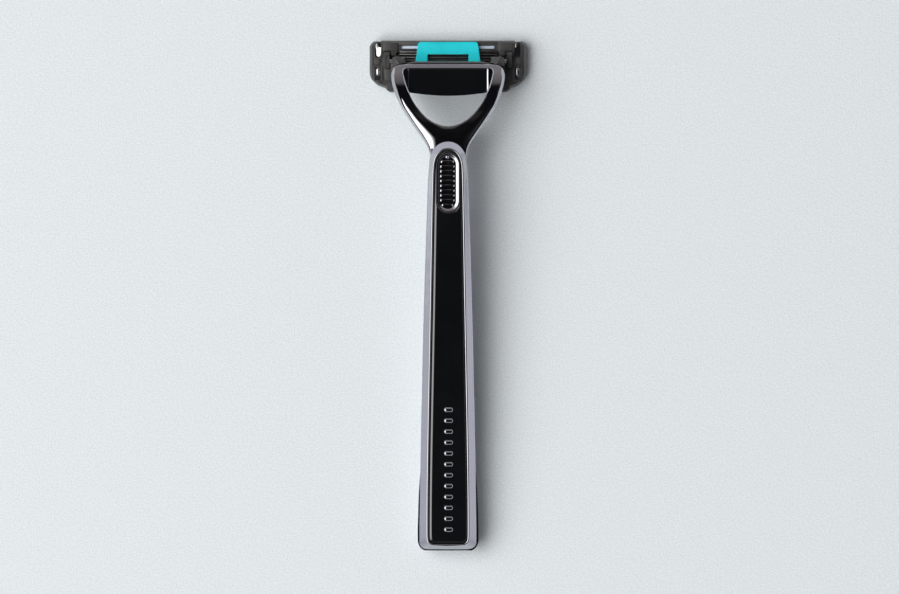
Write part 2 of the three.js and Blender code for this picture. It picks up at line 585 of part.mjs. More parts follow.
// hubs for the pivot pins
for (const s of [1, -1]) {
  const f = (pts, x0, x1) => (s > 0 ? side(pts, x0, x1) : side(pts, -x1, -x0));
  cart = cart.add(
    f([[60.6, 3.3], [64.9, 3.3], [64.9, 5.6], [64.7, 6.15], [63.9, 6.25], [63.75, 5.75], [61.1, 5.75], [61.0, 5.95], [60.65, 5.95], [60.6, 5.7]], 15.6, 17.15),
  );
  cart = cart.add(f([[60.9, 5.4], [63.9, 5.4], [63.9, 6.0], [60.9, 5.9]], 16.6, 17.1));
  // raised blocks beside the strip's windows
  cart = cart.add(f([[65.15, 4.0], [67.42, 4.0], [67.3, 4.68], [65.25, 4.68]], 13.5, 17.6));
  const X = (a, b) => (s > 0 ? [a, b] : [-b, -a]);
  cart = cart.subtract(cylX(...X(14, 17.05), PIVOT.y, PIVOT.z, PIVOT.r + 0.05, 20));
  // room for the docking yoke's arm
  cart = cart.subtract(box(...X(12.95, 15.58), 59.9, 65.1, 3.12, 9));
  // slots for the retaining clip
  cart = cart.subtract(box(...X(17.78, 19.42), 63.5, 69, 3.35, 9)); // back seat of the clip's cap leg
  cart = cart.subtract(box(...X(17.78, 19.42), 67.35, 69, -1, 9)); // down the cap edge
  cart = cart.subtract(box(...X(17.78, 19.42), 57.4, 61.05, -1, 9)); // guard-side slot, right through
  cart = cart.subtract(box(...X(17.78, 19.42), 57.4, 69, -1, FACE_Z + 0.02)); // strap across the face
}
// pocket and window of the lubricating strip
cart = cart.subtract(box(-17.1, 17.1, 65.35, 67.25, -1, 1.55));
cart = cart.subtract(box(-12.6, 12.6, 65.55, 66.7, -1, 9));
// pocket of the guard strip
cart = cart.subtract(box(-17.1, 17.1, 55.85, 60.35, -1, 1.75));
// blade bay, open through the back between the arms
const bladePoly = (y, e = 0) => [
  [y + 0.11 + e, 3.0 + e], [y - 0.11 - e, 3.0 + e], [y - 0.11 - e, 1.4], [y - 0.8 - e, 0.47], [y - 0.72, 0.36 - e * 3],
  [y + 0.11 + e, 1.2 - e],
];
cart = cart.subtract(box(-15.3, 15.3, 60.55, 65.28, -1, 3.08));
cart = cart.subtract(box(-12.9, 12.9, 60.9, 65.28, -1, 9));
for (let i = 0; i < 5; i++) cart = cart.subtract(side(bladePoly(BLADE_Y0 + BLADE_PITCH * i, 0.05), -18.75, 18.75));
cart = cart.subtract(box(-18.75, 18.75, 60.55, 65.28, -1, 0.75));
add("cartridge_frame", cart, darkPlastic);

for (let i = 0; i < 5; i++)
  add("blade_" + (i + 1), side(bladePoly(BLADE_Y0 + BLADE_PITCH * i), -18.65, 18.65), steel);

// retaining clips: strap over the face, leg round the cap edge, hooked leg through the guard-side slot
for (const s of [1, -1]) {
  const pts = [
    [58.3, 0.0], [67.55, 0.0], [67.75, 0.2], [67.75, 3.85], [67.55, 4.05], [63.9, 4.05], [63.7, 3.8], [67.45, 3.75],
    [67.45, 0.3], [58.65, 0.3], [58.65, 4.0], [60.2, 4.3], [60.6, 4.7], [60.3, 4.85], [58.6, 4.65], [58.3, 4.3],
  ];
  add(s > 0 ? "clip_right" : "clip_left", s > 0 ? side(pts, 17.85, 19.35) : side(pts, -19.35, -17.85), steel);
}
// its keys fill the windows of the cap rail from behind
let strip_ = side([[65.45, 1.5], [65.45, 0.35], [65.65, 0.16], [66.95, 0.16], [67.15, 0.35], [67.15, 1.5]], -17.0, 17.0);
strip_ = strip_.add(side([[65.68, 1.3], [66.58, 1.3], [66.58, 3.62], [66.48, 3.75], [65.78, 3.75], [65.68, 3.62]], -12.4, 12.4));
add("lubricating_strip", strip_, stripMat);
{
  const pts = [[55.95, 1.7], [55.95, 0.55]];
  for (let i = 0; i < 5; i++) {
    const y = 56.2 + i * 0.87;
    pts.push([y, 0.55], [y + 0.18, 0.16], [y + 0.36, 0.16], [y + 0.54, 0.55]);
  }
  pts.push([60.25, 0.55], [60.25, 1.7]);
  add("guard_strip", side(pts, -17.0, 17.0), rubberMat);
}

export default root;
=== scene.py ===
# Cartridge razor: looks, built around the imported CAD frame. Lengths below are in mm and become metres in make().
import math
import bpy
import bmesh
import numpy as np
from mathutils import Vector, Matrix


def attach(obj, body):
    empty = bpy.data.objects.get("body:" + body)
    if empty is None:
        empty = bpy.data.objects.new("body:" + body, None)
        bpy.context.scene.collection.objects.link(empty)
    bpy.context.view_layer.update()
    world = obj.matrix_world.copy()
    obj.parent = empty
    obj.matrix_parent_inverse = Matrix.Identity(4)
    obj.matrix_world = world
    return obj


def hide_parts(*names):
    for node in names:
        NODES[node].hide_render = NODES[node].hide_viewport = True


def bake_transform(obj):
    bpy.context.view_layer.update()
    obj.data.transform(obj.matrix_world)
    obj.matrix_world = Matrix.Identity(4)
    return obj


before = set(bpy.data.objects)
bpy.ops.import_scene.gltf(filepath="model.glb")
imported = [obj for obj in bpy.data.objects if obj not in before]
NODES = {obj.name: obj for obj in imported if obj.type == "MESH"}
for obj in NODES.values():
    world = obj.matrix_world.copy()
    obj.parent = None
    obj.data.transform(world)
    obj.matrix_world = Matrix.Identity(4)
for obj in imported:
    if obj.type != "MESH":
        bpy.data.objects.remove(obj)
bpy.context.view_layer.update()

# ------------------------------------------------------------------ curves and tables
def pchip(rows):
    xs = np.array([r[0] for r in rows], float)
    ys = np.array([r[1] for r in rows], float)
    h = np.diff(xs)
    d = np.diff(ys) / h
    m = np.zeros(len(xs))
    m[0], m[-1] = d[0], d[-1]
    for i in range(1, len(xs) - 1):
        if d[i - 1] * d[i] > 0:
            w1, w2 = 2 * h[i] + h[i - 1], h[i] + 2 * h[i - 1]
            m[i] = (w1 + w2) / (w1 / d[i - 1] + w2 / d[i])

    def f(x):
        x = min(max(x, xs[0]), xs[-1])
        i = min(int(np.searchsorted(xs, x, side="right")) - 1, len(xs) - 2)
        i = max(i, 0)
        t = (x - xs[i]) / h[i]
        return ((2 * t**3 - 3 * t**2 + 1) * ys[i] + (t**3 - 2 * t**2 + t) * h[i] * m[i]
                + (-2 * t**3 + 3 * t**2) * ys[i + 1] + (t**3 - t**2) * h[i] * m[i + 1])
    return f


def smooth(t, a, b):
    t = min(max((t - a) / (b - a), 0.0), 1.0)
    return t * t * (3 - 2 * t)


def catmull(points, per=16):
    """Centripetal Catmull-Rom through 2-D points."""
    p = [np.array(q, float) for q in points]
    p = [2 * p[0] - p[1]] + p + [2 * p[-1] - p[-2]]
    out = []
    for i in range(1, len(p) - 2):
        p0, p1, p2, p3 = p[i - 1], p[i], p[i + 1], p[i + 2]
        t0 = 0.0
        t1 = t0 + max(np.linalg.norm(p1 - p0), 1e-6) ** 0.5
        t2 = t1 + max(np.linalg.norm(p2 - p1), 1e-6) ** 0.5
        t3 = t2 + max(np.linalg.norm(p3 - p2), 1e-6) ** 0.5
        for k in range(per):
            t = t1 + (t2 - t1) * k / per
            a1 = (t1 - t) / (t1 - t0) * p0 + (t - t0) / (t1 - t0) * p1
            a2 = (t2 - t) / (t2 - t1) * p1 + (t - t1) / (t2 - t1) * p2
            a3 = (t3 - t) / (t3 - t2) * p2 + (t - t2) / (t3 - t2) * p3
            b1 = (t2 - t) / (t2 - t0) * a1 + (t - t0) / (t2 - t0) * a2
            b2 = (t3 - t) / (t3 - t1) * a2 + (t - t1) / (t3 - t1) * a3
            out.append((t2 - t) / (t2 - t1) * b1 + (t - t1) / (t2 - t1) * b2)
    out.append(p[-2])
    return np.array(out)


def cut_curve(curve, keys, counts):
    """Resamples a polyline between the points nearest to the keys, counts[i] steps in stretch i."""
    s = np.concatenate([[0], np.cumsum(np.linalg.norm(np.diff(curve, axis=0), axis=1))])
    at = [s[int(np.argmin(np.linalg.norm(curve - np.array(k), axis=1)))] for k in keys]
    at[0], at[-1] = 0.0, s[-1]
    out = []
    for i, n in enumerate(counts):
        for k in range(n):
            out.append(at[i] + (at[i + 1] - at[i]) * k / n)
    out.append(at[-1])
    # even out the step lengths a little, so that sections turn smoothly
    out = np.array(out)
    for _ in range(6):
        out[1:-1] = 0.25 * out[:-2] + 0.5 * out[1:-1] + 0.25 * out[2:]
    return np.stack([np.interp(out, s, curve[:, 0]), np.interp(out, s, curve[:, 1])], 1)


# ------------------------------------------------------------------ mesh helpers
def make(name, verts, faces, smooth_angle=30.0):
    me = bpy.data.meshes.new(name)
    me.from_pydata([tuple(c * 0.001 for c in v) for v in verts], [], faces)
    me.validate()
    bm = bmesh.new()
    bm.from_mesh(me)
    bmesh.ops.remove_doubles(bm, verts=bm.verts, dist=1e-7)
    bmesh.ops.recalc_face_normals(bm, faces=bm.faces)
    bm.to_mesh(me)
    bm.free()
    o = bpy.data.objects.new(name, me)
    bpy.context.scene.collection.objects.link(o)
    shade(o, smooth_angle)
    return o


def shade(o, angle=30.0):
    me = o.data
    me.polygons.foreach_set("use_smooth", [True] * len(me.polygons))
    me.set_sharp_from_angle(angle=math.radians(angle))
    me.update()


def apply_mods(o):
    dg = bpy.context.evaluated_depsgraph_get()
    dg.update()
    me = bpy.data.meshes.new_from_object(o.evaluated_get(dg))
    o.modifiers.clear()
    old = o.data
    o.data = me
    bpy.data.meshes.remove(old)
    return o


def loops(name, rings, close_ring=True, close_path=False, caps=True, angle=30.0):
    """rings: list of equally long point lists."""
    n, m = len(rings), len(rings[0])
    verts = [p for r in rings for p in r]
    faces = []
    for i in range(n if close_path else n - 1):
        a, b = i * m, ((i + 1) % n) * m
        for j in range(m if close_ring else m - 1):
            k = (j + 1) % m
            faces.append((a + j, a + k, b + k, b + j))
    if caps and not close_path:
        faces.append(tuple(range(m))[::-1])
        faces.append(tuple(range((n - 1) * m, n * m)))
    return make(name, verts, faces, angle)


def prism(name, pts, lo, hi, axis="z", top=None):
    """Outline pts in the two other axes, from lo to hi along axis; top is another outline of the same length at hi."""
    top = top or pts
    def at(p, h):
        return {"z": (p[0], p[1], h), "x": (h, p[0], p[1]), "y": (p[0], h, p[1])}[axis]
    n = len(pts)
    verts = [at(p, lo) for p in pts] + [at(p, hi) for p in top]
    faces = [tuple(range(n))[::-1], tuple(range(n, 2 * n))]
    faces += [(i, (i + 1) % n, n + (i + 1) % n, n + i) for i in range(n)]
    return make(name, verts, faces)


def block(name, x0, x1, y0, y1, z0, z1):
    return prism(name, [(x0, y0), (x1, y0), (x1, y1), (x0, y1)], z0, z1)


def disc(cx, cy, r, n=32):
    return [(cx + r * math.cos(2 * math.pi * i / n), cy + r * math.sin(2 * math.pi * i / n)) for i in range(n)]


def obround(r, y0, y1, n=16):
    pts = []
    for i in range(n + 1):
        a = math.pi + math.pi * i / n
        pts.append((r * math.cos(a), y0 + r + r * math.sin(a)))
    for i in range(n + 1):
        a = math.pi * i / n
        pts.append((r * math.cos(a), y1 - r + r * math.sin(a)))
    return pts


def boolean(o, others, op="DIFFERENCE"):
    for c in others:
        m = o.modifiers.new("b", "BOOLEAN")
        m.operation = op
        m.solver = "EXACT"
        m.object = c
        apply_mods(o)
        bpy.data.objects.remove(c)
    shade(o)
    return o


def bevel(o, width, segments=3, angle=28.0, clamp=True):
    m = o.modifiers.new("bevel", "BEVEL")
    m.width = width * 0.001
    m.segments = segments
    m.limit_method = "ANGLE"
    m.angle_limit = math.radians(angle)
    m.use_clamp_overlap = clamp
    m.harden_normals = False
    return o


def finish_cad(node, material, width=0.0, segments=2, angle=28.0, planar=True):
    """Keeps a CAD node's shape, with eased edges and its own material."""
    o = NODES[node]
    w = o.modifiers.new("weld", "WELD")
    w.merge_threshold = 2e-6
    if width:
        if planar:
            d = o.modifiers.new("planar", "DECIMATE")
            d.decimate_type = "DISSOLVE"
            d.angle_limit = math.radians(0.6)
        bevel(o, width, segments, angle)
    s = o.modifiers.new("smooth", "NODES")
    s.node_group = smooth_group()
    o.data.materials.clear()
    o.data.materials.append(material)
    return o


_sg = []


def smooth_group():
    """A geometry node group that shades smooth, with edges over 30 degrees kept sharp."""
    if _sg:
        return _sg[0]
    g = bpy.data.node_groups.new("ease_shading", "GeometryNodeTree")
    g.interface.new_socket("Geometry", in_out="INPUT", socket_type="NodeSocketGeometry")
    g.interface.new_socket("Geometry", in_out="OUTPUT", socket_type="NodeSocketGeometry")
    i, o = g.nodes.new("NodeGroupInput"), g.nodes.new("NodeGroupOutput")
    f = g.nodes.new("GeometryNodeSetShadeSmooth")
    f.domain = "FACE"
    e = g.nodes.new("GeometryNodeSetShadeSmooth")
    e.domain = "EDGE"
    ang = g.nodes.new("GeometryNodeInputMeshEdgeAngle")
    cmp_ = g.nodes.new("FunctionNodeCompare")
    cmp_.data_type = "FLOAT"
    cmp_.operation = "GREATER_THAN"
    cmp_.inputs[1].default_value = math.radians(32)
    g.links.new(i.outputs[0], f.inputs["Geometry"])
    g.links.new(f.outputs[0], e.inputs["Geometry"])
    g.links.new(ang.outputs[0], cmp_.inputs[0])
    g.links.new(cmp_.outputs[0], e.inputs["Selection"])
    e.inputs["Shade Smooth"].default_value = False
    g.links.new(e.outputs[0], o.inputs[0])
    _sg.append(g)
    return g


# ------------------------------------------------------------------ materials
def material(name, color, rough, metallic=0.0, **kw):
    m = bpy.data.materials.new(name)
    m.use_nodes = True
    nt = m.node_tree
    b = nt.nodes["Principled BSDF"]
    b.inputs["Base Color"].default_value = (*color, 1)
    b.inputs["Roughness"].default_value = rough
    b.inputs["Metallic"].default_value = metallic
    for k, v in kw.items():
        b.inputs[k].default_value = v
    return m, nt, b


def noise(nt, scale, detail=3.0, rough=0.5, stretch=(1, 1, 1)):
    tc = nt.nodes.new("ShaderNodeTexCoord")
    mp = nt.nodes.new("ShaderNodeMapping")
    mp.inputs["Scale"].default_value = stretch
    n = nt.nodes.new("ShaderNodeTexNoise")
    n.inputs["Scale"].default_value = scale
    n.inputs["Detail"].default_value = detail
    n.inputs["Roughness"].default_value = rough
    nt.links.new(tc.outputs["Object"], mp.inputs["Vector"])
    nt.links.new(mp.outputs["Vector"], n.inputs["Vector"])
    return n.outputs["Fac"]


def remap(nt, src, a, b, lo=0.3, hi=0.7):
    r = nt.nodes.new("ShaderNodeMapRange")
    r.inputs["From Min"].default_value = lo
    r.inputs["From Max"].default_value = hi
    r.inputs["To Min"].default_value = a
    r.inputs["To Max"].default_value = b
    nt.links.new(src, r.inputs["Value"])
    return r.outputs["Result"]


def tint(nt, src, c0, c1, lo=0.3, hi=0.7):
    r = nt.nodes.new("ShaderNodeValToRGB")
    r.color_ramp.elements[0].position = lo
    r.color_ramp.elements[0].color = (*c0, 1)
    r.color_ramp.elements[1].position = hi
    r.color_ramp.elements[1].color = (*c1, 1)
    nt.links.new(src, r.inputs["Fac"])
    return r.outputs["Color"]


def bump(nt, b, src, strength, distance):
    n = nt.nodes.new("ShaderNodeBump")
    n.inputs["Strength"].default_value = strength
    n.inputs["Distance"].default_value = distance
    nt.links.new(src, n.inputs["Height"])
    nt.links.new(n.outputs["Normal"], b.inputs["Normal"])
    return n


def gunmetal():
    m, nt, b = material("gunmetal_plating", (0.5, 0.5, 0.53), 0.07, 1.0)
    nt.links.new(tint(nt, noise(nt, 45, 4), (0.475, 0.478, 0.515), (0.505, 0.505, 0.54)), b.inputs["Base Color"])
    nt.links.new(remap(nt, noise(nt, 260, 5, 0.65), 0.045, 0.095), b.inputs["Roughness"])
    bump(nt, b, noise(nt, 1500, 3, 0.5, (1, 0.25, 1)), 0.06, 0.00001)
    return m


def gloss_black():
    m, nt, b = material("gloss_black_inlay", (0.004, 0.0045, 0.005), 0.06, 0.0, IOR=2.05)
    nt.links.new(tint(nt, noise(nt, 80, 3), (0.0035, 0.004, 0.0045), (0.0055, 0.006, 0.0065)), b.inputs["Base Color"])
    nt.links.new(remap(nt, noise(nt, 300, 5, 0.7), 0.035, 0.10), b.inputs["Roughness"])
    bump(nt, b, noise(nt, 900, 2), 0.03, 0.00001)
    return m


def moulded(name, c0, c1, r0, r1, grain=2600, strength=0.25, spec=0.5):
    m, nt, b = material(name, c0, r0)
    b.inputs["Specular IOR Level"].default_value = spec
    nt.links.new(tint(nt, noise(nt, 240, 4), c0, c1), b.inputs["Base Color"])
    nt.links.new(remap(nt, noise(nt, 600, 4, 0.6), r0, r1), b.inputs["Roughness"])
    bump(nt, b, noise(nt, grain, 3, 0.6), strength, 0.00003)
    return m


def rolled_steel(name, c, r0, r1, stretch=(0.1, 1, 1)):
    m, nt, b = material(name, c, r0, 1.0)
    n = noise(nt, 3500, 3, 0.6, stretch)
    nt.links.new(tint(nt, n, tuple(0.88 * v for v in c), c), b.inputs["Base Color"])
    nt.links.new(remap(nt, noise(nt, 900, 4, 0.6, stretch), r0, r1), b.inputs["Roughness"])
    bump(nt, b, n, 0.12, 0.00001)
    return m


GUN = gunmetal()
INLAY = gloss_black()
DARK = moulded("dark_moulding", (0.046, 0.045, 0.044), (0.064, 0.062, 0.061), 0.30, 0.44)
TEAL = moulded("turquoise_elastomer", (0.012, 0.66, 0.74), (0.018, 0.73, 0.81), 0.5, 0.62, 3200, 0.12, spec=0.22)
STEEL = rolled_steel("bright_rolled_steel", (0.62, 0.63, 0.65), 0.12, 0.26)
BLADE = rolled_steel("ground_blade_steel", (0.30, 0.30, 0.31), 0.28, 0.42, (0.04, 1, 1))
RIB = rolled_steel("satin_rib_steel", (0.50, 0.49, 0.48), 0.34, 0.46, (0.04, 1, 1))
NICKEL = rolled_steel("nickel_plate", (0.66, 0.66, 0.66), 0.08, 0.18, (1, 1, 1))
ACETAL = moulded("natural_acetal", (0.6, 0.61, 0.58), (0.68, 0.69, 0.66), 0.35, 0.5)
STRIP = moulded("waxy_strip", (0.56, 0.66, 0.80), (0.66, 0.75, 0.88), 0.3, 0.45, 1800, 0.2)
GUARD = moulded("guard_rubber", (0.022, 0.023, 0.025), (0.035, 0.036, 0.038), 0.55, 0.75)

# ------------------------------------------------------------------ shared shape of the handle
def top_z(y):
    return 14.3 + 0.06847 * y - 1.827e-4 * y * y


# ---- bezel frame: one closed ring round the inlay, swept between an outer and an inner curve
outer_pts = [(0, -67.62), (3.0, -67.62), (5.3, -67.6), (6.15, -67.48), (6.85, -67.12), (7.3, -66.6), (7.55, -65.9),
             (7.56, -64.9), (7.57, -62.4), (7.46, -54.4), (7.31, -43.8), (7.12, -33.1), (6.88, -22.5), (6.67, -11.9),
             (6.38, -1.25), (6.06, 9.4), (5.69, 20), (5.29, 30.65), (5.03, 34), (4.86, 36.0), (4.62, 37.1),
             (4.2, 38.2), (3.56, 39.15), (2.7, 39.95), (1.7, 40.5), (0.8, 40.75), (0, 40.8)]
inner_pts = [(0, -66.2), (2.5, -66.2), (3.8, -66.18), (4.42, -66.02), (4.84, -65.7), (5.1, -65.2), (5.2, -64.5),
             (5.23, -62.4), (5.2, -54.4), (5.06, -43.8), (4.88, -33.1), (4.68, -22.5), (4.48, -11.9), (4.28, -1.25),
             (4.1, 9.4), (3.93, 20), (3.76, 28.5), (3.63, 33.3), (3.42, 35.2), (3.0, 36.5), (2.4, 37.45),
             (1.65, 38.15), (0.85, 38.52), (0, 38.62)]
okeys = [(0, -67.62), (5.3, -67.6), (6.85, -67.12), (7.56, -64.9), (7.57, -62.4), (5.29, 30.65), (4.62, 37.1), (3.56, 39.15), (0, 40.8)]
ikeys = [(0, -66.2), (3.8, -66.18), (4.65, -65.87), (5.2, -64.5), (5.23, -62.4), (3.72, 30.2), (3.2, 36.0), (2.4, 37.45), (0, 38.62)]
counts = [10, 8, 8, 5, 74, 12, 8, 12]
O = cut_curve(catmull(outer_pts), okeys, counts)
I = cut_curve(catmull(inner_pts), ikeys, counts)


def mirror_loop(half):
    """From the bottom centre up the right side to the top centre, then down the left side."""
    left = half[1:-1][::-1].copy()
    left[:, 0] *= -1
    return np.concatenate([half, left])


O, I = mirror_loop(O), mirror_loop(I)


def bezel_profile(w):
    """(distance from the outer edge, height over the crest) across the rail: wall, 45 degree chamfer, crowned land, wall."""
    r = 0.38
    a = math.radians(31)
    half = r * math.sin(a)
    cx = w - 0.07 - half  # centre of the crown
    pts = [(0.0, -2.0), (0.0, -1.75)]
    end = cx - half
    h_end = -r * (1 - math.cos(a))
    slope = (end - 0.1) * 1.0
    h0 = h_end - slope
    h0 = max(h0, -1.62)
    pts += [(0.0, h0 - 0.12), (0.015, h0 - 0.055), (0.05, h0 - 0.012), (0.1, h0 + 0.03)]
    for k in range(1, 8):
        t = k / 8
        pts.append((0.1 + (end - 0.04 - 0.1) * t, h0 + 0.03 + (h_end - 0.035 - h0 - 0.03) * t))
    pts.append((end - 0.03, h_end - 0.026))
    for k in range(0, 15):
        b = a - 2 * a * k / 14
        pts.append((cx - r * math.sin(b), -r * (1 - math.cos(b))))
    pts += [(w - 0.03, h_end - 0.045), (w - 0.008, h_end - 0.09), (w, h_end - 0.15), (w, -0.5), (w, -0.9), (w - 0.3, -0.96), (w - 0.3, -2.0)]
    return pts


rings = []
for o, i in zip(O, I):
    d = i - o
    w = float(np.linalg.norm(d))
    e = d / w
    ring = []
    for s, h in bezel_profile(w):
        p = o + e * s
        ring.append((p[0], p[1], top_z(p[1]) - 0.03 + h))
    rings.append(ring)
bezel = loops("bezel_frame", rings, close_path=True)
floor_rings = []
bezel.data.materials.append(GUN)
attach(bezel, "handle")
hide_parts("top_frame")

# ---- inlay: a crowned gloss panel with eased edges, pierced for the button
half = I[: len(I) // 2 + 1]
rail = []
pan_rings = []
centre_y = half[:, 1]
for k, (x, y) in enumerate(half):
    n = half[min(k + 1, len(half) - 1)] - half[max(k - 1, 0)]
    n = np.array([n[1], -n[0]]) / (np.linalg.norm(n) + 1e-9)  # outwards
    rail.append((np.array([x, y]), n))


def panel_dz(y):
    return -0.13 - 0.13 * max(0.0, -63.9 - y)


prof = [(0.10, -0.80), (0.10, -0.42), (0.12, -0.385), (0.36, -0.155), (0.41, -0.125), (0.60, -0.066), (0.78, -0.018), (0.88, -0.004), (0.98, 0.0)]
for s, h in prof:
    ring = []
    for p, n in rail:
        q = p - n * s
        q[0] = max(q[0], 0.0)
        ring.append((q[0], q[1], top_z(q[1]) + panel_dz(q[1]) + h))
    ring += [(-a, b, c) for a, b, c in ring[1:-1][::-1]]
    pan_rings.append(ring)
# fill the top with rows across, following the crest line
n_half = len(rail)
verts = [p for r in pan_rings for p in r]
m = len(pan_rings[0])
faces = []
for i in range(len(pan_rings) - 1):
    for j in range(m):
        k = (j + 1) % m
        faces.append((i * m + j, i * m + k, (i + 1) * m + k, (i + 1) * m + j))
base = (len(pan_rings) - 1) * m
for j in range(0, n_half - 1):
    a, b = base + j, base + j + 1
    c, d = base + (m - j - 1) % m, base + (m - j) % m
    if j == 0:
        faces.append((a, b, c))
    elif j == n_half - 2:
        faces.append((a, b, d))
    else:
        faces.append((a, b, c, d))
faces.append(tuple(range(m))[::-1])
inlay = make("inlay_panel_gloss", verts, faces, 35)


def flare(name, rings_):
    """rings_: (outline, height function of x and y), from the bottom up."""
    return loops(name, [[(x, y, f(x, y)) for x, y in pts] for pts, f in rings_])


boolean(inlay, [flare("hole", [
    (obround(3.16, 21.98, 37.84, 24), lambda x, y: 4.0),
    (obround(3.16, 21.98, 37.84, 24), lambda x, y: top_z(y) - 0.13 - 0.20),
    (obround(3.20, 21.94, 37.88, 24), lambda x, y: top_z(y) - 0.13 - 0.12),
    (obround(3.28, 21.86, 37.96, 24), lambda x, y: top_z(y) - 0.13 - 0.05),
    (obround(3.42, 21.72, 38.10, 24), lambda x, y: top_z(y) - 0.13 + 0.02),
    (obround(4.0, 21.14, 38.68, 24), lambda x, y: top_z(y) + 2.0),
])])
inlay.data.materials.append(INLAY)
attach(inlay, "handle")
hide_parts("inlay_panel")

bars = []
for k in range(12):
    y = -30.4 - 2.9 * k
    zb_ = top_z(y) - 0.13
    rr = []
    for s_, h_ in [(0.0, -0.12), (0.0, -0.01), (0.02, 0.02), (0.15, 0.145), (0.22, 0.185), (0.34, 0.225), (0.48, 0.25), (0.58, 0.256)]:
        r_ = 0.62 - s_
        rr.append([(0.13 + a, y + b, zb_ + h_) for a, b in
                   [(0.58 + r_ * math.cos(t), r_ * math.sin(t)) for t in np.linspace(-math.pi / 2, math.pi / 2, 13)]
                   + [(-0.58 + r_ * math.cos(t), r_ * math.sin(t)) for t in np.linspace(math.pi / 2, 1.5 * math.pi, 13)]])
    bars.append(loops("bar", rr))
grip_bars = bars[0]
boolean(grip_bars, bars[1:], "UNION")
grip_bars.name = "grip_bars"
shade(grip_bars, 40)
grip_bars.data.materials.append(GUN)
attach(grip_bars, "handle")

# ---- handle body: grip and fork in one piece
body_w = pchip([(-67.95, 6.2), (-67.75, 6.75), (-67.4, 7.2), (-66.9, 7.62), (-66.2, 7.97), (-65.2, 8.15), (-63, 8.17), (-59.7, 8.08), (-54.4, 7.93),
                (-49.1, 7.62), (-45.5, 7.3), (-41, 7.02), (-33.1, 6.78), (-22.5, 6.53), (-11.9, 6.32), (-1.25, 6.03),
                (9.4, 5.71), (20, 5.34), (30.65, 4.94), (36.5, 4.72), (39, 4.6)])
bottom_z = pchip([(-67.95, 2.4), (-67.7, 1.5), (-67.3, 0.8), (-66.8, 0.35), (-66.2, 0.1), (-65.4, 0.0), (-58.5, 0.0), (-50, 0.35), (-40, 1.15),
                  (-20, 2.8), (0, 4.45), (18, 5.85), (43, 7.85)])
ysec = sorted(set([-67.95, -67.85, -67.7, -67.5, -67.25, -66.95, -66.6, -66.2, -65.8, -65.3, -64.7] + list(np.linspace(-64, 39, 70))))
sections = []
for y in ysec:
    w, zb = body_w(y), bottom_z(y)
    zt = top_z(y) - 2.09
    half_ring = [(0.0, zb), (w * 0.32, zb), (w * 0.52, zb + 0.0)]
    # rounded lower flank, then a nearly upright wall, then the small eased shoulder
    hgt = max(0.9, (zt - zb) * 0.62)
    for k in range(1, 13):
        a = math.pi / 2 * k / 12
        half_ring.append((w * 0.52 + (w * 0.47) * math.sin(a), zb + hgt * (1 - math.cos(a)) ** 1.0))
    half_ring += [(w, zb + hgt + (zt - zb - hgt) * 0.5), (w, zt - 0.1), (w - 0.006, zt - 0.05), (w - 0.02, zt - 0.02), (w - 0.05, zt - 0.004), (w - 0.09, zt), (w * 0.5, zt), (0.0, zt)]
    ring = [(x, y, z) for x, z in half_ring] + [(-x, y, z) for x, z in half_ring[1:-1][::-1]]
    sections.append(ring)
grip = loops("handle_body", sections)

fork_o = [(0, 34.4), (2.2, 34.4), (4.2, 34.44), (4.62, 34.9), (4.7, 35.8), (4.78, 36.8), (4.9, 37.7), (5.12, 38.6), (5.53, 39.7), (6.15, 40.75), (6.88, 41.8),
          (7.66, 42.9), (8.43, 43.95), (9.17, 45), (9.89, 46.06), (10.58, 47.1), (11.27, 48.2), (11.94, 49.25),
          (12.57, 50.3), (13.13, 51.4), (13.64, 52.4), (14.08, 53.5), (14.55, 55.1), (14.84, 56.2), (15.02, 57.2),
          (15.09, 58.2), (15.02, 59.1), (14.75, 59.85), (14.25, 60.6), (13.5, 61.08), (12.6, 61.29), (11.6, 61.37), (10.4, 61.405), (7.5, 61.42),
          (3.5, 61.42), (0, 61.42)]
fork_i = [(0, 44.92), (1.3, 45.06), (2.75, 45.46), (3.99, 46.06), (4.84, 46.58), (5.56, 47.12), (6.17, 47.66), (7.17, 48.7),
          (8.03, 49.8), (8.78, 50.85), (9.42, 51.9), (9.92, 52.9), (10.26, 53.75), (10.3, 54.15), (10.05, 54.38), (9.6, 54.42), (8.6, 54.26), (7.2, 54.03), (5, 53.72), (2.5, 53.48), (0, 53.4)]
fo_keys = [(0, 34.4), (4.5, 34.65), (5.53, 39.7), (7.66, 42.9), (10.1, 46.35), (11.85, 49.1), (13.9, 53.0), (15.05, 57.4), (14.6, 60.2), (12.0, 61.345), (9.4, 61.41), (0, 61.42)]
fi_keys = [(0, 44.92), (1.3, 45.06), (2.75, 45.46), (4.84, 46.58), (7.17, 48.7), (8.78, 50.85), (9.92, 52.9), (10.27, 53.8), (10.25, 54.25), (9.9, 54.42), (8.6, 54.26), (0, 53.4)]
fcounts = [8, 12, 12, 14, 11, 14, 14, 14, 10, 6, 14]
FO = cut_curve(catmull(fork_o), fo_keys, fcounts)
FI = cut_curve(catmull(fork_i), fi_keys, fcounts)
FO, FI = mirror_loop(FO), mirror_loop(FI)
fork_top = pchip([(34, 14.35), (38, 14.62), (41, 14.74), (45, 14.42), (50, 13.86), (54, 13.52), (55, 13.45), (56, 13.345), (57, 13.175), (58, 12.97), (59, 12.74), (60, 12.48), (60.8, 12.25), (61.2, 12.10), (61.5, 11.96), (61.7, 11.85)])
fork_bot = pchip([(34, 7.05), (41, 7.65), (45, 8.2), (49, 8.65), (53, 9.2), (62.5, 9.2)])
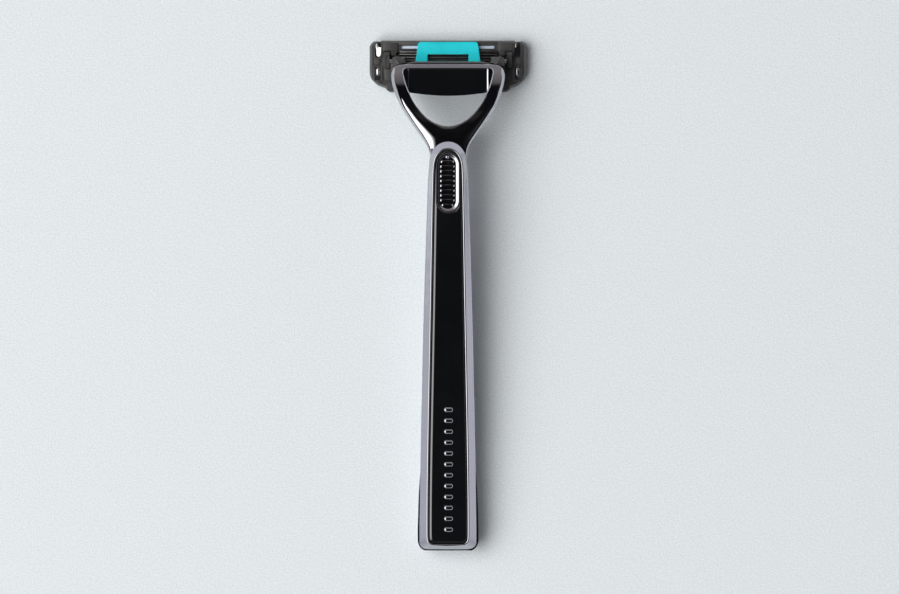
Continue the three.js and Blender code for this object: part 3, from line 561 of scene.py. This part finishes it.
outer_x = pchip([(36.0, 4.72), (37.0, 4.8), (37.8, 4.92), (38.6, 5.12), (39.7, 5.53), (40.75, 6.15), (41.8, 6.88), (42.9, 7.66), (43.95, 8.43), (45, 9.17), (46.06, 9.89),
                 (47.1, 10.58), (48.2, 11.27), (49.25, 11.94), (50.3, 12.57), (51.4, 13.13), (52.4, 13.64), (53.5, 14.08), (55.1, 14.55), (57.2, 15.02)])
slope_w = pchip([(36.0, 0.0), (37.0, 0.5), (38.5, 1.45), (40.0, 2.7), (41.8, 3.9), (43.6, 3.3), (46.7, 2.0), (50, 1.1), (51.5, 0.5), (52.7, 0.0)])
chamfer_w = pchip([(36, 0.25), (40, 0.36), (44, 0.45), (50, 0.45), (53.5, 0.8), (55.5, 0.95), (59, 1.0), (61, 0.9)])


flat_w = pchip([(36, 0.14), (39, 0.2), (42, 0.34), (44, 0.40), (54, 0.42)])


def sink(x, y):
    """How far the fork's flanks fall towards the outer edge."""
    w = slope_w(y)
    if w < 0.02 or y > 52.7:
        return 0.0
    nx = 0.84
    t = (outer_x(y) - (chamfer_w(y) + flat_w(y)) / nx - abs(x)) / w
    t = min(max(t, 0.0), 1.0)
    return 0.16 * w * (1 - t) ** 3


def section(o, i):
    d = i - o
    L = float(np.linalg.norm(d))
    e = d / L
    front = smooth(o[1], 59.4, 61.2) * (1 if o[1] > 50 else 0)   # 1 along the crossbar's front
    lean = 0.12 * front
    c = chamfer_w(o[1]) * (1 - front) + 0.32 * front     # chamfer width
    rise = sink(o[0] + 0.0, o[1])
    pts = []
    def add(s, h, zabs=None):
        p = o + e * s
        z = zabs if zabs is not None else fork_top(p[1]) - sink(p[0], p[1]) + h
        pts.append((p[0], p[1], z))
    # outer wall
    n = -e
    pb = o + n * lean
    pts.append((pb[0], pb[1], fork_bot(o[1]) + 0.25))
    q = o + n * lean * 0.97
    pts.append((q[0], q[1], fork_bot(o[1]) + 0.4))
    pc = o + e * c
    top_out = fork_top(pc[1]) - sink(pc[0], pc[1])
    hw = top_out - 1.02 * c - 0.08
    q = o + n * lean * 0.32
    pts.append((q[0], q[1], fork_bot(o[1]) + 0.4 + (hw - fork_bot(o[1]) - 0.4) * 0.68))
    add(0.0, 0, hw - 0.06)
    add(0.012, 0, hw + 0.0)
    add(0.05, 0, hw + 0.05)
    if front < 0.5:
        for k in range(1, 6):
            t = k / 5
            add(0.05 + (c - 0.05) * t, 0, hw + 0.05 + (top_out - 0.03 - hw - 0.05) * t)
    else:
        for k in range(1, 6):
            a = math.pi / 2 * k / 6
            add(0.05 + (c - 0.05) * (1 - math.cos(a)), 0, hw + 0.05 + (top_out - 0.03 - hw - 0.05) * math.sin(a))
    add(c + 0.03, -0.008)
    add(c + 0.07, 0)
    s0 = c + max(flat_w(o[1]), 0.16)
    add(s0 * 0.5 + (c + 0.07) * 0.5, 0)
    rest = max(L - 0.20 - s0, 0.05)
    for k in range(0, 18):
        add(s0 + rest * (k / 17) ** 1.35, 0.0)
    add(L - 0.14, -0.012)
    add(L - 0.08, -0.045)
    add(L - 0.035, -0.10)
    add(L - 0.008, -0.175)
    add(L, -0.28)
    zb = fork_bot(i[1])
    add(L, 0, zb + 0.3)
    add(L - 0.05, 0, zb + 0.12)
    add(L - 0.25, 0, zb)
    for k in range(1, 5):
        p = o + e * (L - 0.25 + (0.35 - L + 0.25) * k / 4)
        pts.append((p[0], p[1], fork_bot(p[1])))
    p = o + e * 0.1 + n * lean
    pts.append((p[0], p[1], fork_bot(o[1]) + 0.07))
    return pts


fork = loops("fork_tmp", [section(o, i) for o, i in zip(FO, FI)], close_path=True)
boolean(grip, [fork], "UNION")

# the recess for the bridge plate, its mouth eased
rec_half = catmull([(9.8, 53.0), (10.15, 53.7), (10.5, 54.4), (10.95, 55.5), (11.4, 56.9), (11.72, 58.3), (11.88, 59.25), (11.8, 59.8), (11.5, 60.18), (10.95, 60.36)], 5)


def recess(off):
    out_ = []
    for k in range(len(rec_half)):
        a, b = rec_half[max(0, k - 1)], rec_half[min(len(rec_half) - 1, k + 1)]
        t = (b - a) / np.linalg.norm(b - a)
        out_.append(tuple(rec_half[k] + off * np.array([t[1], -t[0]])))
    out_[-1] = (out_[-1][0], 60.38 + off)
    return out_ + [(-x, y) for x, y in out_[::-1]]


def at_top(h):
    return lambda x, y: fork_top(y) + h


# cuts for the mechanism, where the CAD has them
def cover_line(y, d):
    return 5.85 + 0.08 * (y - 18) + d


leg_path = [(0.0, 39.8), (1.6, 41.2), (3.4, 42.9), (5.7, 45.15), (7.9, 47.5), (9.8, 50.0), (11.3, 52.6), (12.5, 55.1), (13.2, 57.0)]


def strip(path, half_w, back, extra):
    a, b = [], []
    for k in range(len(path)):
        p0, p1 = np.array(path[max(0, k - 1)]), np.array(path[min(len(path) - 1, k + 1)])
        d = (p1 - p0) / np.linalg.norm(p1 - p0)
        nn = np.array([-d[1], d[0]])
        a.append((path[k][0] + nn[0] * half_w, path[k][1] + nn[1] * half_w + extra))
        b.append((path[k][0] - nn[0] * half_w, path[k][1] - nn[1] * half_w - back - extra))
    return b + a[::-1]


def flip(pts):
    return [(-x, y) for x, y in pts][::-1]


groove = strip(leg_path, 0.52, 1.4, 0.12)
cuts = [
    prism("c", obround(3.26, 21.9, 37.9, 20), 13.35, 20),
    block("c", -1.85, 1.85, 22.3, 35.75, 5.0, 13.6),
    block("c", -1.5, 1.5, 35.6, 40.7, 5.0, 10.85),
    prism("c", groove, 4, 10.8), prism("c", flip(groove), 4, 10.8),
    block("c", 12.0, 14.4, 55.0, 59.45, 4, 10.95), block("c", -14.4, -12.0, 55.0, 59.45, 4, 10.95),
    block("c", 12.05, 14.35, 59.3, 63, 9.35, 10.95), block("c", -14.35, -12.05, 59.3, 63, 9.35, 10.95),
    prism("c", [(19.4, cover_line(19.4, -2)), (42.6, cover_line(42.6, -2)), (42.6, cover_line(42.6, 1.06)), (19.4, cover_line(19.4, 1.06))], -2.56, 2.56, "x"),
    flare("c", [(recess(0.0), lambda x, y: 11.2), (recess(0.0), at_top(-0.26)), (recess(0.3), at_top(0.04)), (recess(0.6), lambda x, y: 16.0)]),
]
for y in (8, -56):
    cuts.append(prism("c", disc(0, y, 0.86), top_z(y) - 7.2, 30))
cuts.append(prism("c", disc(0, 20.9, 0.62, 20), 3, 11.0))
cuts.append(prism("c", disc(0, 41.35, 0.62, 20), 3, 13.2))
boolean(grip, cuts)
grip.data.materials.append(GUN)
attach(grip, "handle")
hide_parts("handle_chassis")

# ---- bridge plate: gloss black, bowed rear edge, a sloping flank at each end
plate_rear = pchip([(0, 53.0), (2.5, 53.06), (5, 53.22), (7.5, 53.48), (9, 53.68), (10.33, 53.92), (10.82, 55.35)])
cols = [0, 2, 4, 6, 8, 9.4, 10.1, 10.3, 10.385, 10.42, 10.5, 10.6, 10.65, 10.88]
zcol = [12.27, 12.27, 12.27, 12.27, 12.27, 12.27, 12.27, 12.27, 12.276, 12.29, 12.327, 12.372, 12.385, 12.385]
xs_ = [-c_ for c_ in cols[::-1]] + cols[1:]
zs_ = zcol[::-1] + zcol[1:]
sec = []
for x, z in zip(xs_, zs_):
    yr = plate_rear(abs(x)) if abs(x) < 10.34 else 53.95 + (abs(x) - 10.34) * 3.0
    yf = 60.28 if abs(x) < 10.6 else 60.28 - (abs(x) - 10.6) * 0.5
    sec.append([(x, yr, 11.28), (x, yr, z - 0.16), (x, yr + 0.02, z - 0.09), (x, yr + 0.07, z - 0.03), (x, yr + 0.15, z), (x, (yr + yf) / 2, z), (x, yf - 0.15, z),
                (x, yf - 0.07, z - 0.03), (x, yf - 0.02, z - 0.09), (x, yf, z - 0.16), (x, yf, 11.28)])
plate = loops("bridge_plate_gloss", sec)
shade(plate, 20)
plate.data.materials.append(INLAY)
plate.data.materials.append(GUN)
for p_ in plate.data.polygons:
    if abs(p_.center.x) > 0.01036:
        p_.material_index = 1
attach(plate, "handle")
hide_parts("bridge_plate")

# ---- bridge nose: the gloss strip along the front of the crossbar
nose_sec = []
for x in np.linspace(-10.9, 10.9, 24):
    k = 1.0 - 0.55 * smooth(abs(x), 9.4, 10.9)
    front_y = 61.3 + 0.9 * k
    zt = 11.72 - 0.25 * (1 - k)
    ring = [(x, 61.22, 9.7), (x, front_y - 0.05, 9.7), (x, front_y, 9.78), (x, front_y, zt - 0.95)]
    for a in np.linspace(12, 78, 9):
        t = math.radians(a)
        ring.append((x, front_y - 0.62 * k * (1 - math.cos(t)), zt - 0.95 + 0.9 * math.sin(t)))
    ring += [(x, 61.40, zt), (x, 61.22, zt)]
    nose_sec.append(ring)
nose = loops("bridge_nose", nose_sec)
nose.data.materials.append(INLAY)
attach(nose, "handle")

# ---- release button: raised rim, scooped pad, cross ribs
BY0, BY1, BR = 22.1, 37.7, 3.03


def btn_z(y, h):
    return top_z(y) + h


bprof = [(0.0, -1.55), (0.0, -0.5), (0.0, -0.1), (0.015, -0.03), (0.05, 0.0), (0.2, 0.0), (0.28, -0.015), (0.38, -0.05), (0.5, -0.103), (0.62, -0.158), (0.74, -0.212),
         (0.82, -0.24), (0.9, -0.254), (1.0, -0.26), (1.2, -0.264), (1.6, -0.272), (2.2, -0.285), (3.02, -0.295)]
rings = []
for s, h in bprof:
    r = BR - s
    rings.append([(x, y, btn_z(y, h) if h > -1.5 else 14.8) for x, y in obround(max(r, 0.004), BY0 + s, BY1 - s, 28)])
button = loops("release_button_ribbed", rings)
parts = []
for k in range(11):
    y = 23.95 + 1.281 * k
    hw = math.sqrt(max(0.15, 1.9**2 - (max(0, y - (BY1 - BR)) ** 2 if y > BY1 - BR else max(0, (BY0 + BR) - y) ** 2)))
    hw = min(hw + 0.12, 2.02)
    prof2 = [(-0.3, -0.06), (-0.28, 0.006), (-0.2, 0.022), (-0.1, 0.036), (0.0, 0.041), (0.1, 0.036), (0.2, 0.022), (0.28, 0.006), (0.3, -0.06)]
    rr = []
    for x, f in [(-hw, 0.0), (-hw + 0.07, 0.7), (-hw + 0.15, 1.5), (-hw + 0.23, 2.1), (-hw + 0.31, 2.2), (-hw + 0.41, 1.7), (-hw + 0.52, 1.15), (-hw + 0.65, 1.0), (0, 1.0),
                 (hw - 0.65, 1.0), (hw - 0.52, 1.15), (hw - 0.41, 1.7), (hw - 0.31, 2.2), (hw - 0.23, 2.1), (hw - 0.15, 1.5), (hw - 0.07, 0.7), (hw, 0.0)]:
        rr.append([(x, y + a, btn_z(y, -0.272 + (b * f if b > 0 else b))) for a, b in prof2])
    parts.append(loops("rib", rr))
boolean(button, parts, "UNION")
button.data.materials.append(GUN)
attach(button, "button")
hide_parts("release_button")

# ---- return spring under the button's plunger, built as a fixed coil
coil = []
for k in range(121):
    a = 10 * math.pi * k / 120
    u = np.array([math.cos(a), math.sin(a), 0.0])
    c_ = np.array([0, 24.4, 7.772 + 4.418 * k / 120]) + 1.12 * u
    coil.append([tuple(c_ + 0.185 * (math.cos(b) * u + math.sin(b) * np.array([0, 0, 1.0]))) for b in np.linspace(0, 2 * math.pi, 11)[:-1]])
spring = loops("button_spring_coil", coil)
spring.data.materials.append(STEEL)
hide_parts("button_spring")
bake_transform(spring)

# ---- turquoise tongue: an elastic bracket with a window, bending across the pivot
hwid = pchip([(58.9, 8.72), (61.0, 8.70), (62.2, 8.66), (64.0, 8.40), (66.6, 8.05), (66.95, 7.97), (67.25, 7.80), (67.45, 7.55), (67.55, 7.25)])
tt = pchip([(58.9, 7.7), (60.8, 7.68), (61.9, 7.43), (62.6, 7.05), (63.3, 6.55), (64.0, 6.02), (64.6, 5.64), (65.6, 5.42), (66.6, 5.32), (67.1, 5.22), (67.4, 5.05), (67.55, 4.85)])
tb = pchip([(58.9, 6.85), (61.2, 6.7), (62.2, 6.3), (63.0, 5.78), (64.2, 4.78), (65.2, 4.52), (67.0, 4.47), (67.55, 4.47)])
tys = list(np.linspace(58.92, 62.2, 9)) + list(np.linspace(62.6, 64.22, 6)) + list(np.linspace(64.5, 66.8, 8)) + [67.0, 67.18, 67.33, 67.45, 67.55]
us = [-1.0, -0.97, -0.9, -0.8, -0.7] + [None] + list(np.linspace(-0.5, 0.5, 9)) + [None] + [0.7, 0.8, 0.9, 0.97, 1.0]
xcols = []
for y in tys:
    w = hwid(y)
    e = 5.45
    row = [-w, -w + 0.35, -w + 0.9, -(w + e) / 2, -e - 0.5, -e] + list(np.linspace(-e, e, 13)[1:-1]) + [e, e + 0.5, (w + e) / 2, w - 0.9, w - 0.35, w]
    xcols.append(row)
nc = len(xcols[0])
V, F = [], []
for y, row in zip(tys, xcols):
    for x in row:
        V.append((x, y, tt(y)))
for y, row in zip(tys, xcols):
    for x in row:
        V.append((x, y, tb(y)))
N = len(tys) * nc
def keep(i, j):
    return not (5 <= j < nc - 6 and tys[i + 1] < 64.3)
for i in range(len(tys) - 1):
    for j in range(nc - 1):
        if not keep(i, j):
            continue
        a, b, c, d = i * nc + j, i * nc + j + 1, (i + 1) * nc + j + 1, (i + 1) * nc + j
        F.append((a, b, c, d))
        F.append((N + d, N + c, N + b, N + a))
        for (di, dj, p, q) in [(-1, 0, a, b), (1, 0, c, d), (0, -1, d, a), (0, 1, b, c)]:
            ii, jj = i + di, j + dj
            if not (0 <= ii < len(tys) - 1 and 0 <= jj < nc - 1) or not keep(ii, jj):
                F.append((q, p, N + p, N + q))
tongue = make("return_tongue_soft", V, F, 40)
bevel(tongue, 0.16, 3, 40)
apply_mods(tongue)
shade(tongue, 40)
tongue.data.materials.append(TEAL)
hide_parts("return_tongue")
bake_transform(tongue)

# ---- blade unit: moulded relief on the back of the cartridge frame
def join(objs, name):
    """Several closed bodies in one object."""
    vs, fs = [], []
    for o in objs:
        k = len(vs)
        vs += [tuple(v.co) for v in o.data.vertices]
        fs += [tuple(k + i for i in p_.vertices) for p_ in o.data.polygons]
        bpy.data.objects.remove(o)
    me = bpy.data.meshes.new(name)
    me.from_pydata(vs, [], fs)
    me.validate()
    o = bpy.data.objects.new(name, me)
    bpy.context.scene.collection.objects.link(o)
    shade(o)
    return o


def eased(name, pts, lo, hi, width=0.08, segments=3, top=None):
    o = prism(name, pts, lo, hi, "z", top)
    bevel(o, width, segments, 25)
    return apply_mods(o)


def shrink(pts, d):
    """The same outline drawn in by d."""
    n = len(pts)
    area_ = sum(pts[k][0] * pts[(k + 1) % n][1] - pts[(k + 1) % n][0] * pts[k][1] for k in range(n))
    sg = 1.0 if area_ > 0 else -1.0
    out_ = []
    for k in range(n):
        p0, p1, p2 = np.array(pts[k - 1]), np.array(pts[k]), np.array(pts[(k + 1) % n])
        a, b = (p1 - p0) / np.linalg.norm(p1 - p0), (p2 - p1) / np.linalg.norm(p2 - p1)
        na, nb = np.array([-a[1], a[0]]) * sg, np.array([-b[1], b[0]]) * sg
        m_ = na + nb
        m_ = m_ / max(0.35, float(np.dot(m_, m_)) / 2)
        out_.append(tuple(p1 + m_ * d))
    return out_


def arc(cx, cy, r, a0, a1, n):
    return [(cx + r * math.cos(math.radians(a0 + (a1 - a0) * k / n)), cy + r * math.sin(math.radians(a0 + (a1 - a0) * k / n))) for k in range(n + 1)]


def rounded(x0, x1, y0, y1, r, n=5):
    return (arc(x1 - r, y0 + r, r, -90, 0, n) + arc(x1 - r, y1 - r, r, 0, 90, n)
            + arc(x0 + r, y1 - r, r, 90, 180, n) + arc(x0 + r, y0 + r, r, 180, 270, n))


def ring_wall(name, pts, width, lo, hi, ease=0.05):
    """A raised border: outer outline pts, wall width, from lo to hi, with eased crests."""
    prof_ = [(0, lo), (0, hi - ease), (ease * 0.3, hi - ease * 0.3), (ease, hi), (width - ease, hi), (width - ease * 0.3, hi - ease * 0.3), (width, hi - ease), (width, lo)]
    n = len(pts)
    shells = [shrink(pts, a) if a else pts for a, _ in prof_]
    return loops(name, [[(shells[k][j][0], shells[k][j][1], prof_[k][1]) for k in range(len(prof_))] for j in range(n)], close_path=True)


relief = []
for sg in (-1, 1):
    def X(pts):
        return [(sg * x, y) for x, y in pts]
    # border of the guard-side slot, round plug, lobe, pivot boss
    relief.append(ring_wall("r", X(rounded(17.42, 19.86, 57.02, 61.12, 0.5)), 0.36, 4.1, 4.82, 0.07))
    relief.append(eased("r", disc(sg * 18.88, 62.3, 0.86, 28), 4.2, 4.74, 0.16, 4))
    relief.append(ring_wall("r", disc(sg * 18.88, 62.3, 1.12, 28), 0.16, 4.2, 4.6, 0.05))
    relief.append(eased("r", disc(sg * 15.28, 55.62, 1.22, 24), 4.2, 4.85, 0.2, 4))
    relief.append(ring_wall("r", X(rounded(17.42, 19.72, 62.98, 67.6, 0.9, 6)), 0.28, 4.1, 4.72, 0.07))
    # block beside the window, with its lower step
    relief.append(eased("r", X([(13.5, 65.12), (17.35, 65.12), (17.35, 67.42), (13.42, 67.42), (13.3, 66.6)]), 4.3, 4.98, 0.14, 3))
    relief.append(eased("r", X([(13.75, 63.9), (15.2, 63.9), (15.45, 64.6), (15.45, 65.3), (13.35, 65.3), (13.3, 64.9), (13.75, 64.7)]), 3.6, 4.72, 0.1, 3))
    # ribs along the side wall
    relief.append(eased("r", X([(20.02, 57.9), (20.22, 58.0), (20.22, 66.2), (20.02, 66.4)]), 4.2, 4.55, 0.07, 2))
    # cross bar under the retaining clip's cap leg and the ramp by the guard side
    relief.append(eased("r", X([(13.6, 57.3), (16.9, 57.3), (17.1, 60.3), (15.9, 60.6), (14.2, 59.6)]), 4.2, 4.78, 0.14, 3))
relief = join(relief, "cartridge_relief")
relief.data.materials.append(DARK)
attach(relief, "blade_unit")

# long ribs of the cap rail and the crest behind it
rails = []
for x0, x1 in ((-12.75, -8.75), (8.75, 12.75)):
    rails.append(eased("r", [(x0, 65.17), (x1, 65.17), (x1, 65.42), (x0, 65.42)], 3.9, 4.62, 0.07, 2))
rails.append(eased("r", [(-13.3, 66.85), (13.3, 66.85), (13.3, 67.62), (-13.3, 67.62)], 4.25, 4.44, 0.06, 2))
bay = []
for y in (64.87, 64.24, 63.46, 62.7, 61.95):
    bay.append(eased("r", [(-12.88, y - 0.09), (12.88, y - 0.09), (12.88, y + 0.09), (-12.88, y + 0.09)], 3.1, 4.3, 0.05, 2))
bay = join(bay, "blade_carrier_ribs")
bay.data.materials.append(RIB)
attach(bay, "blade_unit")
rails = join(rails, "cap_rail_ribs")
rails.data.materials.append(DARK)
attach(rails, "blade_unit")

# ---- docking yoke: drafted wedges at the ends of its cross bar
for sg, nm in ((-1, "yoke_wedge_left"), (1, "yoke_wedge_right")):
    low = [(15.0, 60.95), (14.98, 62.3), (14.55, 63.1), (14.3, 63.3), (12.3, 63.35), (11.25, 62.2), (11.1, 61.72), (12.9, 61.55)]
    # ridge line runs from the back corner down to the front of the cross bar
    hgt = [10.0, 9.7, 9.9, 10.85, 10.55, 10.1, 10.3, 11.35]
    V_ = [(sg * x, y, 8.0) for x, y in low] + [(sg * x, y, z) for (x, y), z in zip(low, hgt)]
    n_ = len(low)
    V_.append((sg * 13.9, 62.75, 11.2))
    F_ = [tuple(range(n_))[::-1]] + [(k, (k + 1) % n_, n_ + (k + 1) % n_, n_ + k) for k in range(n_)] + [(n_ + k, n_ + (k + 1) % n_, 2 * n_) for k in range(n_)]
    w_ = make(nm, V_, F_)
    bevel(w_, 0.1, 3, 12)
    apply_mods(w_)
    shade(w_, 35)
    w_.data.materials.append(DARK)
    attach(w_, "dock")

# ---- retaining clips: a strap round the cap edge, a tapered leg on the back, a hooked leg through the guard-side slot
for sg, nm in ((-1, "clip_left"), (1, "clip_right")):
    xa, xb = 17.9, 19.3
    def band(pts, a, b):
        o = prism("band", pts, sg * a if sg > 0 else -b, sg * b if sg > 0 else -a, "x")
        bevel(o, 0.05, 2, 25)
        return apply_mods(o)
    strap = band([(58.4, 0.02), (67.5, 0.02), (67.68, 0.08), (67.74, 0.22), (67.74, 3.95), (67.66, 4.12), (67.5, 4.2), (65.9, 4.2), (65.9, 3.95), (67.36, 3.95), (67.45, 3.85),
                  (67.45, 0.36), (67.4, 0.3), (58.66, 0.3), (58.66, 4.2), (58.4, 4.2)], xa, xb)
    # tapered leg, leaning
    rr = []
    cx_, tilt = 18.5, math.tan(math.radians(13))
    for y, hw in [(66.1, 0.66), (65.7, 0.64), (65.2, 0.62), (64.7, 0.59), (64.2, 0.54), (63.95, 0.47), (63.78, 0.36), (63.69, 0.2), (63.66, 0.04)]:
        def zt_(x):
            return 4.22 - sg * (x - sg * cx_) * tilt
        c_ = sg * cx_
        dz = 0.0 if y > 64.3 else -0.10 * (64.3 - y)
        rr.append([(c_ - hw, y, zt_(c_ - hw) + dz), (c_ - hw, y, zt_(c_ - hw) - 0.26 + dz), (c_ + hw, y, zt_(c_ + hw) - 0.26 + dz), (c_ + hw, y, zt_(c_ + hw) + dz),
                   (c_ + hw * 0.5, y, zt_(c_ + hw * 0.5) + 0.005 + dz), (c_, y, zt_(c_) + 0.008 + dz), (c_ - hw * 0.5, y, zt_(c_ - hw * 0.5) + 0.005 + dz)])
    leg = loops("leg", rr)
    # hooked end, crowned
    rr = []
    for y, hw, zc in [(58.32, 0.50, 4.10), (58.36, 0.58, 4.30), (58.5, 0.62, 4.48), (58.8, 0.64, 4.62), (59.2, 0.64, 4.72), (59.6, 0.64, 4.79), (60.0, 0.63, 4.80), (60.4, 0.60, 4.74), (60.7, 0.54, 4.62), (60.86, 0.44, 4.48), (60.92, 0.3, 4.36)]:
        r_ = []
        for t in np.linspace(-1, 1, 13):
            r_.append((sg * 18.55 + hw * t, y, zc - 0.21 * abs(t) ** 2.2))
        rr.append(r_ + [(sg * 18.55 + hw, y, zc - 0.45), (sg * 18.55 - hw, y, zc - 0.45)])
    hook = loops("hook", rr)
    boolean(strap, [leg, hook], "UNION")
    strap.name = nm + "_sprung"
    shade(strap, 35)
    strap.data.materials.append(STEEL)
    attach(strap, "blade_unit")
    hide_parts(nm)

# ------------------------------------------------------------------ CAD nodes that stay
finish_cad("docking_yoke", DARK, 0.13, 3)
finish_cad("cartridge_frame", DARK, 0.09, 2, planar=False)
for k in range(1, 6):
    finish_cad(f"blade_{k}", BLADE, 0.03, 2)
for n in ("pivot_pin_left", "pivot_pin_right", "frame_screw_front", "frame_screw_rear", "cover_screw_front", "cover_screw_rear", "cam_pin", "keeper_left", "keeper_right", "release_fork"):
    finish_cad(n, STEEL, 0.06, 2)
for n in ("magnet_left", "magnet_right"):
    finish_cad(n, NICKEL, 0.12, 3)
finish_cad("button_plunger", ACETAL, 0.1, 2)
finish_cad("bay_cover", GUN, 0.12, 3)
finish_cad("lubricating_strip", STRIP, 0.12, 3)
finish_cad("guard_strip", GUARD, 0.06, 2)

# ------------------------------------------------------------------ stage
def paper():
    m, nt, b = material("warm_white_paper", (0.85, 0.865, 0.875), 0.85)
    n1 = noise(nt, 2600, 4, 0.6)
    n2 = noise(nt, 1100, 3, 0.5)
    nt.links.new(tint(nt, n1, (0.705, 0.750, 0.770), (0.885, 0.935, 0.955)), b.inputs["Base Color"])
    bump(nt, b, n2, 0.6, 0.00016)
    b.inputs["Specular IOR Level"].default_value = 0.15
    return m


floor = bpy.data.meshes.new("floor")
R = 3.0
floor.from_pydata([(-R, -R, 0), (R, -R, 0), (R, R, 0), (-R, R, 0)], [], [(0, 1, 2, 3)])
floor = bpy.data.objects.new("floor", floor)
bpy.context.scene.collection.objects.link(floor)
floor.data.materials.append(paper())

# world: dark overhead, pale at the horizon, a warm grey patch ahead
world = bpy.data.worlds.new("studio")
bpy.context.scene.world = world
world.use_nodes = True
nt = world.node_tree
nt.nodes.clear()
out = nt.nodes.new("ShaderNodeOutputWorld")
bg = nt.nodes.new("ShaderNodeBackground")
tc = nt.nodes.new("ShaderNodeTexCoord")
sep = nt.nodes.new("ShaderNodeSeparateXYZ")
nt.links.new(tc.outputs["Generated"], sep.inputs[0])
ramp = nt.nodes.new("ShaderNodeValToRGB")
el = ramp.color_ramp.elements
el[0].position, el[0].color = 0.0, (0.74, 0.75, 0.82, 1)
el[1].position, el[1].color = 1.0, (0.006, 0.006, 0.007, 1)
for pos, c in [(0.12, (0.72, 0.73, 0.80)), (0.30, (0.42, 0.43, 0.47)), (0.50, (0.16, 0.16, 0.175)), (0.72, (0.02, 0.02, 0.022))]:
    e = el.new(pos)
    e.color = (*c, 1)
nt.links.new(sep.outputs["Z"], ramp.inputs["Fac"])
# warm grey ahead (+Y)
mr = nt.nodes.new("ShaderNodeMapRange")
mr.inputs["From Min"].default_value = 0.235
mr.inputs["From Max"].default_value = 0.50
nt.links.new(sep.outputs["Y"], mr.inputs["Value"])
mul = nt.nodes.new("ShaderNodeMixRGB")
mul.blend_type = "LIGHTEN"
mul.inputs["Color2"].default_value = (0.33, 0.30, 0.295, 1)
nt.links.new(mr.outputs["Result"], mul.inputs["Fac"])
nt.links.new(ramp.outputs["Color"], mul.inputs["Color1"])
lp = nt.nodes.new("ShaderNodeLightPath")
mix = nt.nodes.new("ShaderNodeMixRGB")
mix.inputs["Color2"].default_value = (0.80, 0.82, 0.84, 1)
nt.links.new(lp.outputs["Is Camera Ray"], mix.inputs["Fac"])
nt.links.new(mul.outputs["Color"], mix.inputs["Color1"])
nt.links.new(mix.outputs["Color"], bg.inputs["Color"])
dim = nt.nodes.new("ShaderNodeMapRange")
dim.inputs["To Min"].default_value = 1.0
dim.inputs["To Max"].default_value = 0.55
nt.links.new(lp.outputs["Is Diffuse Ray"], dim.inputs["Value"])
nt.links.new(dim.outputs["Result"], bg.inputs["Strength"])
nt.links.new(bg.outputs["Background"], out.inputs["Surface"])


def area(name, az, elv, dist, sx, sy, radiance, color=(1, 1, 1), sheen=False):
    """A soft box at azimuth az (0 is +X, 90 is +Y), facing the origin."""
    li = bpy.data.lights.new(name, "AREA")
    li.shape = "RECTANGLE"
    li.size, li.size_y = sx, sy
    li.energy = radiance * math.pi * sx * sy
    li.color = color
    o = bpy.data.objects.new(name, li)
    bpy.context.scene.collection.objects.link(o)
    a, e = math.radians(az), math.radians(elv)
    d = Vector((math.cos(a) * math.cos(e), math.sin(a) * math.cos(e), math.sin(e)))
    o.location = d * dist
    o.rotation_euler = d.to_track_quat("Z", "Y").to_euler()
    o.visible_camera = False
    if sheen:
        o.visible_diffuse = False
    else:
        o.visible_glossy = False
    return o


for nm, d_, w_, h_, rad in (("softbox_halo", 3.4, 6.0, 5.2, 0.33), ("softbox_edge", 3.2, 4.8, 4.0, 0.66), ("softbox_mid", 3.0, 3.8, 3.0, 1.17), ("softbox_core", 2.8, 2.8, 2.0, 1.62)):
    area(nm, 189, 54, d_, w_, h_, rad, (1.0, 0.999, 0.996))
for nm, d_, w_, h_, rad in (("sheen_halo", 3.3, 4.76, 3.40, 0.24), ("sheen_edge", 3.1, 3.88, 2.62, 0.53), ("sheen_mid", 2.9, 3.09, 1.98, 0.86), ("sheen_core", 2.7, 2.36, 1.40, 1.12)):
    area(nm, 189, 54, d_, w_, h_, rad, (1.0, 0.985, 0.965), sheen=True)

cam = bpy.data.cameras.new("camera")
cam.sensor_width = 36
D = 2.6
cam.lens = 36 * D / 239.0 * 1000
cam_o = bpy.data.objects.new("camera", cam)
bpy.context.scene.collection.objects.link(cam_o)
cam_o.location = (0.0004, -0.00045, D + 0.011)
cam_o.rotation_euler = (0, 0, 0)
cam.clip_start, cam.clip_end = 0.05, 20
bpy.context.scene.camera = cam_o
bpy.context.scene.view_settings.view_transform = "Standard"
